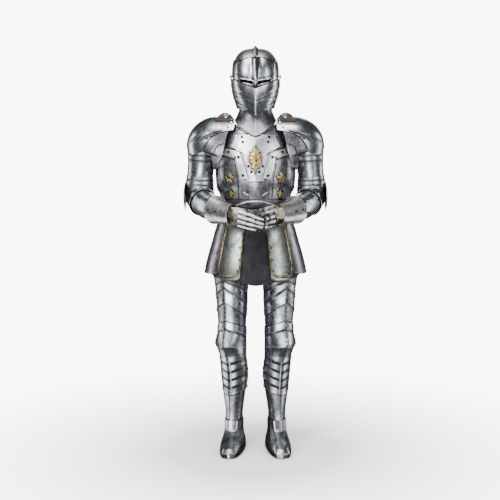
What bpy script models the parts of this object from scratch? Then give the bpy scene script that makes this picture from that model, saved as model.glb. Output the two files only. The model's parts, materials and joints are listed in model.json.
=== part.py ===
"""Suit of plate armour standing with clasped gauntlets, in metres, +Z up, facing -Y."""

import math
from collections import namedtuple
import bmesh
import bpy
import numpy as np
from mathutils import Matrix, Vector

# Plates: the gap at a seam, the walls, the step of one lame over the next, and the height of a layer.
SEAM = 0.0003
WALL = 0.0018
LAME_WALL = 0.0022
LAME_STEP = 0.0015
STEP_RUN = 0.0012
LAYER = 0.0024

# The wearer's right is -X. The suit is moved forward by this much once it is built.
SIDES = {"right": -1.0, "left": 1.0}
FRAME_SHIFT_Y = 0.0533

# Helmet: the pivots, and the skull as a body turned about them with a comb along its middle.
PIVOT_Y = 0.0
PIVOT_Z = 1.700
SKULL_HALF_WIDTH = 0.1035
SKULL_RADIUS = 0.128
SKULL_POWER = 2.82
EAR_RADIUS = 0.0075
COMB_HEIGHT = 0.018
COMB_WIDTH = 0.013
COMB_RISE = math.radians(44), math.radians(98)
COMB_FALL = math.radians(165), math.radians(226)
SKULL_FRONT = math.radians(29)
SKULL_NAPE = math.radians(230)
SKULL_SIDE_DROP = math.radians(36)

# Visor: how far it stands off the skull, its brow, its keel and its two sights, from the pivots.
VISOR_GROW = 0.0045
VISOR_TOP_Z = 0.072
VISOR_KEEL = 0.0055, 0.0140
VISOR_KEEL_WIDTH = 0.020
SIGHT_IN, SIGHT_OUT = 0.009, 0.070
SIGHT_HEIGHT = 0.0125
SIGHT_Z = -0.040
SIGHT_RISE = 0.20

# Ventail and bevor: heights of their edges in front and at the sides.
FACE_GAP = 0.0052
FACE_HALF_ANGLE = math.radians(97)
VENTAIL_TOP = 1.632
VENTAIL_LOW = 1.583
PIVOT_COVER = 0.013
CHIN_Z = 1.517
BEVOR_SIDE_Z = 1.552
PIVOT_HOLE = 0.0044
PIVOT_FACE = SKULL_HALF_WIDTH + 0.0098

# Breast and back: the section's squareness, the chest keel, the armholes and the side seam.
BODY_POWER = 2.2
CHEST_KEEL = 0.005
KEEL_LOW = 1.12
KEEL_SPREAD = 0.30
BREAST_TOP, BREAST_LOW = 1.480, 1.128
ARMHOLE_Z = 1.325
SIDE_SEAM = math.radians(89.80)
TOP_HALF_ANGLE = math.radians(68)
BAND_STATIONS = (0.0, 0.12, 0.24, 0.34, 0.36, 0.38, 0.54, 0.70, 0.85, 1.0)
BAND_RISE = 0.0014
BIB_ROWS = (1.430, 1.405, 1.380, 1.355, 1.320, 1.270, 1.225)

# Gorget: its point in front, its shoulders and its back edge.
GORGET_POINT_Z = 1.424
GORGET_SHOULDER = 0.109
GORGET_SIDE_Z = 1.503
GORGET_BACK_Z = 1.440

# Fauld, tassets and culet.
FAULD_TOP, FAULD_LOW = 1.140, 1.036
SKIRT_TOP = 1.052
TASSET_LOW = 0.788
SIDE_LOW = 0.808
BACK_EDGE = math.radians(112)
SKIRT_LIFT = 2 * LAYER + LAME_STEP + 0.0015

# Mail skirt: its edges, how far it lies inside the body line, and its folds.
MAIL_TOP, MAIL_LOW, MAIL_SIDE_RISE = 1.100, 0.762, 0.055
MAIL_SINK = -0.0022
MAIL_FOLD = 0.0045
MAIL_FOLDS = 8

# Shoulder straps, in degrees over the shoulder and metres from the middle.
STRAP_PITCH = 54, 71
STRAP_IN, STRAP_OUT = 0.096, 0.182
STRAP_DIP = 0.0077

# Pauldrons: a dome turned about a level line through the shoulder, and the lame below its wing.
SHOULDER_TIP = 0.3150
SHOULDER_START = 0.170
SHOULDER_RADIUS = 0.134
SHOULDER_Z = 1.385
UNDER_PITCHES = (-58, -40, -22, -15, -4, 8, 18, 26, 38)
UNDER_SINK = 0.0025
DOME_PITCHES = (-16, -4, 8, 18, 25, 31, 46, 70, 90, 110, 128, 150, 173, 196)
DOME_PARTS = (0.0, 0.24, 0.46, 0.67, 0.85, 0.96, 1.0)

# Arms: lame edges by part of the arm's length, and the scalloped elbow wings.
UPPER_ARM = [0.02, 0.130, 0.180, 0.365]
ELBOW = [0.345, 0.395, 0.445, 0.495, 0.545, 0.595]
FIN_X, FIN_Y, FIN_Z = 0.3312, 0.0060, 1.1540
FIN_RADIUS = 0.064
FIN_HUB = 0.006
FIN_SCALLOP = 0.07
FIN_LOBES = 8
FIN_DEPTH = 0.0083

# Gauntlets: the right hand lies over the left.
HAND_LENGTH = {"right": 0.162, "left": 0.113}
HAND_START = {"right": (-0.1058, -0.2572, 1.0768), "left": (0.0818, -0.2222, 1.0763)}
HAND_LEAN = {"right": 0.0042, "left": 0.0}
HAND_HALF_HEIGHT = 0.047
HAND_START_HALF = {"right": 0.800, "left": 0.920}
FINGER_RIDGE = 0.0050
HAND_WRAP = 0.0200
WRIST_PART = 0.965
WRIST_GROW = -0.0068

# Legs and feet, both turned out a little.
LEG_YAW = math.radians(24)
LEG_POWER = 2.05
SHIN_RIDGE = 0.0050
LEG_COLUMNS = 12
FOOT_X, FOOT_Y = 0.0975, 0.0100
FOOT_YAW = math.radians(6)
FOOT_COLUMNS = 14
TOE_POWER = 2.7

# Colour, metallic and roughness of each material.
MATERIALS = {
    "steel": ((0.62, 0.63, 0.66), 1.0, 0.28),
    "dark_steel": ((0.30, 0.30, 0.34), 1.0, 0.38),
    "mail": ((0.10, 0.10, 0.11), 0.8, 0.55),
    "gilt": ((0.66, 0.46, 0.16), 1.0, 0.32),
    "leather": ((0.20, 0.10, 0.055), 0.0, 0.60),
}


def table(columns, *rows):
    """Rows of sizes with named columns; the first column is the one they are looked up by."""
    kind = namedtuple("Row", columns)
    values = np.array(sorted(rows), float)
    keys = values[:, 0]
    run = np.diff(keys)[:, None]
    rise = np.diff(values, axis=0) / run
    slope = np.zeros_like(values)
    slope[0], slope[-1] = rise[0], rise[-1]
    same = rise[:-1] * rise[1:] > 0
    total = np.where(same, rise[:-1] + rise[1:], 1.0)
    slope[1:-1] = np.where(same, 2 * rise[:-1] * rise[1:] / total, 0.0)
    return kind, keys, values, slope


def rows(columns, *values):
    """Stations with named columns, in the order in which a plate runs through them; a missing value is 0."""
    kind = namedtuple("Station", columns, defaults=(0.0,) * len(columns.split()))
    return [kind(*value) for value in values]


def spread(first, last, count):
    return list(np.linspace(first, last, count))


def mirrored_stations(*half):
    return [-value for value in reversed(half)] + [0.0] + list(half)


# Ventail and bevor.
Face = table("height half_width front power keel",
             (1.7200, 0.1104, 0.1350, 2.40, 0.0105),
             (1.6900, 0.1106, 0.1375, 2.46, 0.0105),
             (1.6600, 0.1105, 0.1385, 2.40, 0.0105),
             (1.6300, 0.1080, 0.1380, 2.20, 0.0100),
             (1.6000, 0.1010, 0.1360, 2.05, 0.0090),
             (1.5750, 0.0920, 0.1310, 1.95, 0.0080),
             (1.5500, 0.0840, 0.1230, 1.85, 0.0080),
             (1.5150, 0.0760, 0.1120, 1.80, 0.0070))

# Pivot: distance out along its axis, and radius.
PIVOT_PROFILE = rows("along radius",
                     (-0.0164, 0.0085),
                     (-0.0150, 0.0085),
                     (-0.0150, 0.0040),
                     (0.0004, 0.0040),
                     (0.0004, 0.0115),
                     (0.0022, 0.0105),
                     (0.0040, 0.0070),
                     (0.0046, 0.0020))

# Neck guard behind the helmet.
Neck = table("height half_width front back",
             (1.6380, 0.0895, 0.090, 0.0845),
             (1.6050, 0.0765, 0.090, 0.0800),
             (1.5700, 0.0755, 0.090, 0.0790),
             (1.5400, 0.0765, 0.090, 0.0880))

# Pauldron: inner edge by degrees over the shoulder.
Wing = table("pitch inner_x",
             (-16, 0.2360),
             (-7, 0.2330),
             (7, 0.2180),
             (17, 0.1980),
             (24, 0.1740),
             (28, 0.1280),
             (33, 0.0880),
             (40, 0.0900),
             (54, 0.1050),
             (72, 0.1480),
             (90, 0.1620),
             (110, 0.1480),
             (130, 0.1120),
             (146, 0.1040),
             (178, 0.1700),
             (196, 0.2060))

# The lame below the pauldron's wing, which runs down in front of the armpit.
UnderLame = table("pitch inner_x outer_x",
                  (-58, 0.1800, 0.1905),
                  (-46, 0.1690, 0.1925),
                  (-32, 0.1580, 0.1930),
                  (-21, 0.1500, 0.2000),
                  (-15, 0.1460, 0.2360),
                  (-4, 0.1400, 0.2440),
                  (8, 0.1350, 0.2320),
                  (18, 0.1290, 0.2120),
                  (26, 0.1240, 0.1850),
                  (38, 0.1100, 0.1300))

# Middle line of the arm, from the shoulder to the wrist.
Arm = table("part x y z",
            (0.00, 0.2430, 0.0000, 1.4000),
            (0.22, 0.2480, 0.0060, 1.3050),
            (0.40, 0.2560, 0.0180, 1.2250),
            (0.50, 0.2570, 0.0130, 1.1680),
            (0.60, 0.2380, -0.0330, 1.1260),
            (0.80, 0.1870, -0.1290, 1.1020),
            (0.90, 0.1490, -0.1810, 1.0900),
            (1.00, 0.0980, -0.2240, 1.0800))

Girth = table("part wide deep",
              (0.00, 0.0706, 0.0705),
              (0.22, 0.0625, 0.0630),
              (0.40, 0.0580, 0.0620),
              (0.50, 0.0590, 0.0640),
              (0.60, 0.0590, 0.0620),
              (0.80, 0.0500, 0.0540),
              (1.00, 0.0360, 0.0430))

# Forearm and cuff: part of the arm's length, and how far the plate stands off it.
VAMBRACE = rows("part grow",
                (0.575, -0.0011),
                (0.680, 0.0),
                (0.800, 0.0),
                (0.930, -0.0010))

CUFF = rows("part grow",
            (0.835, 0.0130),
            (0.875, 0.0060),
            (0.930, 0.0013),
            (0.975, 0.0014),
            (0.995, 0.0030))

# Back of the hand and fingers.
Hand = table("part drop bulge",
             (0.0, 0.0000, 0.0000),
             (0.3, -0.0080, 0.0120),
             (0.6, -0.0190, 0.0160),
             (0.8, -0.0270, 0.0100),
             (1.0, -0.0370, -0.0060))

FINGER_LAMES = rows("part lift",
                    (0.000, 0.0),
                    (0.240, 0.0),
                    (0.420, 0.0012),
                    (0.428, 0.0),
                    (0.620, 0.0012),
                    (0.628, 0.0),
                    (0.820, 0.0012),
                    (0.828, 0.0),
                    (1.000, 0.0008))

# Breast, back, fauld and skirt: half width, and depth in front and behind.
Body = table("height half_width front back",
             (1.4900, 0.1170, 0.0880, 0.0880),
             (1.4400, 0.1500, 0.1180, 0.1100),
             (1.3800, 0.1730, 0.1360, 0.1200),
             (1.3000, 0.1840, 0.1460, 0.1260),
             (1.2200, 0.1810, 0.1400, 0.1200),
             (1.1500, 0.1600, 0.1240, 0.1100),
             (1.1000, 0.1500, 0.1150, 0.1060),
             (1.0400, 0.1640, 0.1240, 0.1150),
             (1.0000, 0.1770, 0.1350, 0.1250),
             (0.9500, 0.1900, 0.1480, 0.1380),
             (0.8800, 0.2090, 0.1630, 0.1520),
             (0.8100, 0.2230, 0.1730, 0.1600),
             (0.7500, 0.2280, 0.1770, 0.1640))

# Parts of the half angle at which the plates of the chest have their points.
BREAST_COLUMNS = mirrored_stations(0.11, 0.26, 0.42, 0.58, 0.74, 0.88, 1.0)
BACK_COLUMNS = spread(-1, 1, 7)
# Plates on the chest.
Bib = table("height half_width",
            (1.4300, 0.0890),
            (1.4050, 0.0930),
            (1.3800, 0.1080),
            (1.3550, 0.0720),
            (1.3000, 0.0520),
            (1.2250, 0.0360))

Band = table("part across height half_width",
             (0.00, 0.1360, 1.3560, 0.0150),
             (0.17, 0.1086, 1.3475, 0.0155),
             (0.34, 0.0812, 1.3390, 0.0160),
             (0.38, 0.0771, 1.3348, 0.0160),
             (0.69, 0.0638, 1.2849, 0.0170),
             (1.00, 0.0505, 1.2350, 0.0180))

BIB_COLUMNS = mirrored_stations(0.14, 0.42, 0.72, 1.0)
# Collar below the gorget.
Collar = table("height half_width front back",
               (1.5600, 0.0735, 0.0840, 0.0790),
               (1.5300, 0.0750, 0.0850, 0.0800),
               (1.4900, 0.0800, 0.0880, 0.0840))

# Front tassets: their inner and outer edges.
Skirt = table("height inner_x outer_x",
              (1.0520, 0.0470, 0.1300),
              (1.0000, 0.0520, 0.1380),
              (0.9000, 0.0600, 0.1500),
              (0.7880, 0.0700, 0.1620))

# Gilt motifs: reach from the middle by turn in degrees.
Fleur = table("turn reach",
              (-90, 0.0250),
              (-72, 0.0150),
              (-52, 0.0190),
              (-34, 0.0125),
              (-14, 0.0100),
              (2, 0.0165),
              (20, 0.0260),
              (38, 0.0220),
              (56, 0.0140),
              (74, 0.0240),
              (90, 0.0330))

Palmette = table("turn reach",
                 (-90, 0.0580),
                 (-74, 0.0340),
                 (-56, 0.0420),
                 (-38, 0.0260),
                 (-20, 0.0360),
                 (-4, 0.0250),
                 (14, 0.0400),
                 (30, 0.0280),
                 (46, 0.0460),
                 (60, 0.0330),
                 (74, 0.0500),
                 (90, 0.0600))

# The leg: middle, half width and depths.
Leg = table("height x y side front back",
            (0.8642, 0.1155, 0.0050, 0.0842, 0.0905, 0.0900),
            (0.7640, 0.1100, 0.0000, 0.0730, 0.0800, 0.0800),
            (0.6600, 0.1080, -0.0030, 0.0690, 0.0740, 0.0720),
            (0.5800, 0.1070, -0.0050, 0.0650, 0.0680, 0.0630),
            (0.5000, 0.1065, -0.0050, 0.0640, 0.0700, 0.0590),
            (0.4300, 0.1040, 0.0000, 0.0630, 0.0620, 0.0600),
            (0.3500, 0.0970, 0.0100, 0.0640, 0.0600, 0.0680),
            (0.2900, 0.0955, 0.0110, 0.0590, 0.0560, 0.0640),
            (0.2300, 0.0980, 0.0100, 0.0520, 0.0500, 0.0560),
            (0.1700, 0.0980, 0.0090, 0.0420, 0.0450, 0.0460),
            (0.1150, 0.0975, 0.0100, 0.0385, 0.0450, 0.0420))

# Leg plates: drop is how far an edge falls from the front ridge to the sides.
CUISSE_LAME_EDGES = rows("height drop",
                         (0.8642, 0.0),
                         (0.7766, 0.052),
                         (0.7425, 0.074),
                         (0.6810, 0.074))

CUISSE = rows("height drop lift",
              (0.697, 0.074, 0.0),
              (0.655, 0.060, 0.0),
              (0.612, 0.044, 0.0),
              (0.570, 0.032, 0.0003))

POLEYN = rows("height drop lift bump wing",
              (0.5880, 0.032, 0.0032),
              (0.5537, 0.034, 0.0044),
              (0.5525, 0.034, 0.0030),
              (0.5180, 0.012, 0.0030, 0.009, 0.010),
              (0.4780, 0.000, 0.0030, 0.021, 0.021),
              (0.4550, -0.008, 0.0030, 0.012, 0.010),
              (0.4260, -0.020, 0.0028, 0.004, 0.0))

GREAVE_LAME_EDGES = rows("height drop",
                         (0.440, -0.018),
                         (0.388, -0.030),
                         (0.350, -0.036),
                         (0.313, -0.038),
                         (0.277, -0.034),
                         (0.245, -0.026))

GREAVE = rows("height drop lift",
              (0.262, -0.024, -0.0028),
              (0.225, -0.012, -0.0030),
              (0.180, 0.0, -0.0020),
              (0.140, 0.0, -0.0010),
              (0.112, 0.0, 0.0031))

# The foot: lengths behind and before the ankle, half width, and how it narrows to the toe.
Foot = table("height heel toe half toe_width",
             (0.0000, 0.062, 0.2150, 0.0540, -0.55),
             (0.0040, 0.065, 0.2180, 0.0560, -0.55),
             (0.0200, 0.066, 0.2160, 0.0570, -0.55),
             (0.0380, 0.064, 0.1980, 0.0540, -0.55),
             (0.0540, 0.061, 0.1600, 0.0500, -0.50),
             (0.0700, 0.058, 0.1180, 0.0460, -0.20),
             (0.0860, 0.056, 0.0880, 0.0440, 0.10),
             (0.1050, 0.053, 0.0680, 0.0430, 0.10),
             (0.1300, 0.052, 0.0620, 0.0450, 0.05))

SABATON = rows("height lift",
               (0.0040, 0.0),
               (0.0220, 0.0),
               (0.0400, 0.0020),
               (0.0412, 0.0),
               (0.0560, 0.0022),
               (0.0572, 0.0),
               (0.0700, 0.0022),
               (0.0712, 0.0),
               (0.0860, 0.0020),
               (0.0872, 0.0),
               (0.1300, 0.0))


def clear_scene():
    for old in list(bpy.data.objects):
        bpy.data.objects.remove(old, do_unlink=True)


def material(slot, name):
    colour, metallic, roughness = MATERIALS[slot]
    made = bpy.data.materials.new(name + "_" + slot)
    made.use_nodes = True
    shader = made.node_tree.nodes["Principled BSDF"]
    shader.inputs["Base Color"].default_value = (*colour, 1.0)
    shader.inputs["Metallic"].default_value = metallic
    shader.inputs["Roughness"].default_value = roughness
    return made


def build(name, points, faces, slot):
    """One closed solid from points and faces, its faces turned outwards."""
    mesh = bpy.data.meshes.new(name)
    mesh.from_pydata([tuple(p) for p in points], [], faces)
    shape = bmesh.new()
    shape.from_mesh(mesh)
    bmesh.ops.remove_doubles(shape, verts=shape.verts, dist=2e-6)
    bmesh.ops.recalc_face_normals(shape, faces=shape.faces)
    if shape.calc_volume(signed=True) < 0:
        bmesh.ops.reverse_faces(shape, faces=shape.faces)
    shape.to_mesh(mesh)
    shape.free()
    mesh.polygons.foreach_set("use_smooth", [True] * len(mesh.polygons))
    mesh.set_sharp_from_angle(angle=math.radians(32))
    made = bpy.data.objects.new(name, mesh)
    made.data.materials.append(material(slot, name))
    bpy.context.scene.collection.objects.link(made)
    return made


def unit(vectors):
    length = np.linalg.norm(vectors, axis=-1, keepdims=True)
    return vectors / np.maximum(length, 1e-9)


def along(grid, axis, closed=False):
    """Central differences of a grid of points along one of its two directions."""
    if closed:
        return np.roll(grid, -1, axis) - np.roll(grid, 1, axis)
    return np.gradient(grid, axis=axis)


def outward_of(grid, around, axis, centre):
    """Unit vectors that point out of a grid: square to an axis, or off the surface itself."""
    across = along(grid, 1, around)
    if axis is None:
        normal = np.cross(along(grid, 0), across)
        for pole, beside in ((0, 1), (-1, -2)):
            if np.linalg.norm(across[pole], axis=-1).max() < 1e-6:
                normal[pole] = unit(normal[beside]).mean(axis=0)
    else:
        axis = unit(np.broadcast_to(np.asarray(axis, float), (len(grid), 3)))[:, None, :]
        normal = np.cross(across - (across * axis).sum(-1, keepdims=True) * axis, axis)
    normal = unit(normal)
    middle = grid.mean(axis=(0, 1)) if centre is None else np.asarray(centre, float)
    if ((grid - middle) * normal).sum() < 0:
        normal = -normal
    return normal


def shell(name, grid, wall, slot, around=False, axis=None, centre=None):
    """A sheet of plate whose outer face is a grid of points; around joins its last column to its first."""
    grid = np.asarray(grid, float)
    rows, columns = grid.shape[:2]
    inner = grid - outward_of(grid, around, axis, centre) * wall
    points = np.concatenate([grid.reshape(-1, 3), inner.reshape(-1, 3)])
    count = rows * columns
    steps = columns if around else columns - 1

    def number(row, column, layer):
        return layer * count + row * columns + column % columns

    faces = []
    for column in range(steps):
        for row in range(rows - 1):
            for layer in (0, 1):
                corner = [
                    number(row, column, layer),
                    number(row, column + 1, layer),
                    number(row + 1, column + 1, layer),
                    number(row + 1, column, layer),
                ]
                faces.append(corner if layer == 0 else corner[::-1])
        for row in (0, rows - 1):
            if np.ptp(grid[row], axis=0).max() < 1e-6:
                continue
            faces.append(
                [
                    number(row, column, 0),
                    number(row, column, 1),
                    number(row, column + 1, 1),
                    number(row, column + 1, 0),
                ]
            )
    if not around:
        for row in range(rows - 1):
            for column in (0, columns - 1):
                faces.append(
                    [
                        number(row, column, 0),
                        number(row + 1, column, 0),
                        number(row + 1, column, 1),
                        number(row, column, 1),
                    ]
                )
    return build(name, points, faces, slot)


def at(sizes, key):
    """The row of a table at a key, on a smooth curve through its rows."""
    kind, keys, values, slope = sizes
    i = int(np.clip(np.searchsorted(keys, key) - 1, 0, len(keys) - 2))
    run = keys[i + 1] - keys[i]
    t = min(max((key - keys[i]) / run, 0.0), 1.0)
    a = (1 + 2 * t) * (1 - t) ** 2
    b = t * (1 - t) ** 2 * run
    c = t * t * (3 - 2 * t)
    d = -t * t * (1 - t) * run
    return kind(*(a * values[i] + b * slope[i] + c * values[i + 1] + d * slope[i + 1]))


def section(half_width, front, back, angle, power=2.2, keel=0.0, keel_angle=0.45):
    """Point of a body section; angle 0 is the front and a positive angle goes towards +X."""
    s, c = math.sin(angle), math.cos(angle)
    reach = (abs(s) ** power + abs(c) ** power) ** (-1 / power)
    depth = front if c > 0 else back
    ridge = keel * max(0.0, 1 - abs(angle) / keel_angle)
    return half_width * s * reach, -(depth * reach * c + ridge)


def eased(t):
    t = min(max(t, 0.0), 1.0)
    return t * t * (3 - 2 * t)


def lames(edges, step=LAME_STEP, inside=1):
    """Stations down a piece of overlapping lames: where along it, and how far each stands proud."""
    stations = []
    for upper, lower in zip(edges[:-1], edges[1:]):
        run = STEP_RUN if lower > upper else -STEP_RUN
        begin = upper + (run if stations else 0.0)
        for i in range(inside + 1):
            t = i / (inside + 1)
            stations.append((begin + (lower - begin) * t, step * t))
        stations.append((lower, step))
    return stations


def revolved(across, pitch, grow=0.0, keel=0.0, keel_width=0.012):
    """Point of the helmet turned about the pivots: across is -1 to 1 between the ears, pitch 0 in front."""
    turn = across * math.pi / 2
    half_width, radius = SKULL_HALF_WIDTH + grow, SKULL_RADIUS + grow
    x = math.copysign(half_width * abs(math.sin(turn)) ** (2 / SKULL_POWER), across)
    reach = radius * abs(math.cos(turn)) ** (2 / SKULL_POWER)
    reach += keel * max(0.0, 1 - abs(x) / keel_width) ** 1.25
    return x, PIVOT_Y - reach * math.cos(pitch), PIVOT_Z + reach * math.sin(pitch)


def across_at(radius, grow=0.0):
    """How far between the ears the helmet has this radius about the pivots."""
    turn = math.acos((radius / (SKULL_RADIUS + grow)) ** (SKULL_POWER / 2))
    return turn / (math.pi / 2)


def reach_at(x, grow=0.0):
    part = min(abs(x) / (SKULL_HALF_WIDTH + grow), 1.0)
    return (SKULL_RADIUS + grow) * (1 - part ** SKULL_POWER) ** (1 / SKULL_POWER)


def comb_at(pitch):
    rise = eased((pitch - COMB_RISE[0]) / (COMB_RISE[1] - COMB_RISE[0]))
    fall = eased((pitch - COMB_FALL[0]) / (COMB_FALL[1] - COMB_FALL[0]))
    return COMB_HEIGHT * (rise - fall)


def helmet_skull():
    ear = across_at(0.0044)
    stations = mirrored_stations(0.035, 0.078, 0.24, 0.44, 0.63, 0.8, 0.91, ear)
    grid = []
    for across in stations:
        last = SKULL_NAPE + SKULL_SIDE_DROP * abs(across) ** 2
        pitches = spread(SKULL_FRONT, last, 16)
        grid.append([revolved(across, p, 0.0, comb_at(p), COMB_WIDTH) for p in pitches])
    shell("helmet_skull", grid, WALL, "steel", centre=(0, PIVOT_Y, PIVOT_Z))


def visor_pitch(across, part):
    """Pitch on the visor; part runs from 0 at the lower edge to 1 at the brow."""
    x, _, _ = revolved(across, 0.0, VISOR_GROW)
    reach = reach_at(x, VISOR_GROW)
    top = math.asin(min(1.0, VISOR_TOP_Z / max(reach, 1e-4)))
    low = math.radians(-37 + 25 * (x / SKULL_HALF_WIDTH) ** 2)
    return low + (top - low) * part


def visor_keel(pitch):
    low, high = VISOR_KEEL
    return low + (high - low) * eased((math.degrees(pitch) + 37) / 72)


def cutter(name, points, faces):
    mesh = bpy.data.meshes.new(name)
    mesh.from_pydata([tuple(p) for p in points], [], faces)
    shape = bmesh.new()
    shape.from_mesh(mesh)
    bmesh.ops.recalc_face_normals(shape, faces=shape.faces)
    shape.to_mesh(mesh)
    shape.free()
    made = bpy.data.objects.new(name, mesh)
    made.hide_render = True
    made.display_type = "WIRE"
    bpy.context.scene.collection.objects.link(made)
    return made


def prism(name, outline, direction):
    """A cutter with this outline, run along a direction."""
    near = [np.asarray(p, float) for p in outline]
    far = [p + np.asarray(direction, float) for p in near]
    count = len(near)
    sides = [[i, (i + 1) % count, (i + 1) % count + count, i + count] for i in range(count)]
    return cutter(name, near + far, sides + [list(range(count)), list(range(count, 2 * count))[::-1]])


def boolean(target, tool, operation):
    step = target.modifiers.new(operation.lower() + "_" + tool.name, "BOOLEAN")
    step.operation = operation
    step.solver = "EXACT"
    step.object = tool


def sight_outline(side):
    """The long narrow sight in front of one eye, slanting down towards the keel."""
    corners = []
    for x, up in ((SIGHT_IN, -0.5), (SIGHT_OUT, -0.5), (SIGHT_OUT, 0.5), (SIGHT_IN, 0.5)):
        height = SIGHT_Z + SIGHT_HEIGHT * up + SIGHT_RISE * (x - SIGHT_IN)
        corners.append((side * x, PIVOT_Z + height))
    return corners


def visor():
    ear = across_at(EAR_RADIUS, VISOR_GROW)
    stations = mirrored_stations(0.05, 0.125, 0.26, 0.42, 0.58, 0.73, 0.87, ear)
    grid = []
    for across in stations:
        pitches = [visor_pitch(across, part) for part in spread(0, 1, 8)]
        grid.append([revolved(across, p, VISOR_GROW, visor_keel(p), VISOR_KEEL_WIDTH) for p in pitches])
    made = shell("visor", grid, WALL, "steel", centre=(0, PIVOT_Y, PIVOT_Z))
    for side_name, side in SIDES.items():
        outline = [(x, -0.20, z) for x, z in sight_outline(side)]
        boolean(made, prism("sight_cut_" + side_name, outline, (0, 0.16, 0)), "DIFFERENCE")
    return made


def face_point(angle, height, grow=0.0):
    """Point of the lower face guard, kept clear of the visor wherever it swings."""
    row = at(Face, height)
    x, y = section(row.half_width + grow, row.front + grow, 0.11, angle, row.power, row.keel, 0.30)
    y += PIVOT_Y
    if abs(x) < SKULL_HALF_WIDTH + VISOR_GROW:
        keel = VISOR_KEEL[1] * max(0.0, 1 - abs(x) / VISOR_KEEL_WIDTH) * 0.6
        least = reach_at(x, VISOR_GROW) + keel + FACE_GAP + grow
        reach = math.hypot(y - PIVOT_Y, height - PIVOT_Z)
        if reach < least and y < PIVOT_Y:
            y = PIVOT_Y - math.sqrt(max(least ** 2 - (height - PIVOT_Z) ** 2, 0.0))
    return x, y, height


def ventail_top(angle):
    return VENTAIL_TOP + (PIVOT_Z + PIVOT_COVER - VENTAIL_TOP) * (abs(angle) / FACE_HALF_ANGLE) ** 1.05


def ventail_low(angle):
    return VENTAIL_LOW + (PIVOT_Z - 0.034 - VENTAIL_LOW) * (abs(angle) / FACE_HALF_ANGLE) ** 1.1


def ventail_point(angle, part):
    height = ventail_top(angle) * (1 - part) + ventail_low(angle) * part
    return face_point(angle, height, LAYER)


def face_guard():
    angles = [FACE_HALF_ANGLE * s for s in mirrored_stations(0.055, 0.16, 0.3, 0.45, 0.6, 0.76, 0.9, 1.0)]
    grid = []
    for part in spread(0, 1, 4):
        grid.append([ventail_point(a, part) for a in angles])
    ventail = shell("ventail", grid, WALL, "steel", axis=(0, 0, 1), centre=(0, 0, 1.64))
    grid = []
    for part, lift in lames([0.0, 0.34, 0.62, 1.0], 0.0012, 0):
        row = []
        for a in angles:
            high = ventail_low(a) + 0.010
            low = CHIN_Z + (BEVOR_SIDE_Z - CHIN_Z) * eased(abs(a) / (0.62 * FACE_HALF_ANGLE))
            row.append(face_point(a, high * (1 - part) + low * part, lift - 0.0004))
        grid.append(row)
    shell("bevor", grid, WALL, "steel", axis=(0, 0, 1), centre=(0, 0, 1.58))
    for side_name, side in SIDES.items():
        hole = []
        for turn in spread(0, 2 * math.pi, 17)[:-1]:
            ahead, up = PIVOT_HOLE * math.cos(turn), PIVOT_HOLE * math.sin(turn)
            hole.append((side * 0.09, PIVOT_Y + ahead, PIVOT_Z + up))
        boolean(ventail, prism("pivot_hole_" + side_name, hole, (side * 0.04, 0, 0)), "DIFFERENCE")


def turned(name, profile, origin, axis, slot, count=8):
    """A solid turned about an axis from its profile: how far along the axis, and its radius there."""
    axis = unit(np.asarray(axis, float))
    first = unit(np.cross(axis, (0, 0, 1) if abs(axis[2]) < 0.9 else (1, 0, 0)))
    second = np.cross(axis, first)
    points, faces = [], []
    for along_axis, radius in profile:
        for i in range(count):
            turn = 2 * math.pi * i / count
            out = first * math.cos(turn) + second * math.sin(turn)
            points.append(np.asarray(origin) + axis * along_axis + radius * out)
    for ring in range(len(profile) - 1):
        for i in range(count):
            j = (i + 1) % count
            low, high = ring * count, (ring + 1) * count
            faces.append([low + i, low + j, high + j, high + i])
    faces += [list(range(count)), list(range((len(profile) - 1) * count, len(profile) * count))]
    return build(name, points, faces, slot)


def pivots():
    for side_name, side in SIDES.items():
        centre = (side * PIVOT_FACE, PIVOT_Y, PIVOT_Z)
        turned("pivot_" + side_name, PIVOT_PROFILE, centre, (side, 0, 0), "steel")


def neck_guard():
    grid = []
    for height, lift in lames([1.636, 1.604, 1.574, 1.546], 0.0012, 0):
        row = at(Neck, height)
        angles = [math.radians(a) for a in spread(88, 272, 13)]
        grid.append([])
        for a in angles:
            x, y = section(row.half_width + lift, row.front, row.back + lift, a)
            grid[-1].append((x, y, height))
    shell("neck_guard", grid, LAME_WALL, "steel", axis=(0, 0, 1), centre=(0, 0, 1.6))


def shoulder_point(side, x, pitch, grow=0.0):
    """Point of the shoulder dome, turned about a level line through the shoulder."""
    part = max(0.0, (x - SHOULDER_START) / (SHOULDER_TIP - SHOULDER_START))
    reach = (SHOULDER_RADIUS + grow) * math.sqrt(max(1 - part * part, 0.0))
    turn = math.radians(pitch)
    y = -reach * math.cos(turn) * (0.92 + 0.08 * math.sin(turn) ** 2)
    return side * (x + grow * part), y, SHOULDER_Z + reach * math.sin(turn)


def pauldron(side_name, side):
    grid = []
    for part in DOME_PARTS:
        row = []
        for pitch in DOME_PITCHES:
            first = at(Wing, pitch).inner_x
            dip = 14 * math.cos(math.radians(pitch)) * eased(part * 1.3)
            row.append(shoulder_point(side, first + (SHOULDER_TIP - 0.0002 - first) * part, pitch - dip))
        grid.append(row)
    shell("pauldron_" + side_name, grid, WALL, "steel", centre=(side * 0.20, 0, 1.36))
    grid = []
    for across in (0.0, 0.5, 1.0):
        row = []
        for pitch in UNDER_PITCHES:
            lame = at(UnderLame, pitch)
            x = lame.inner_x + (lame.outer_x - lame.inner_x) * across
            row.append(shoulder_point(side, x, pitch, -LAYER - UNDER_SINK))
        grid.append(row)
    shell("wing_lame_" + side_name, grid, WALL, "dark_steel", centre=(side * 0.20, 0, 1.36))


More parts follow.
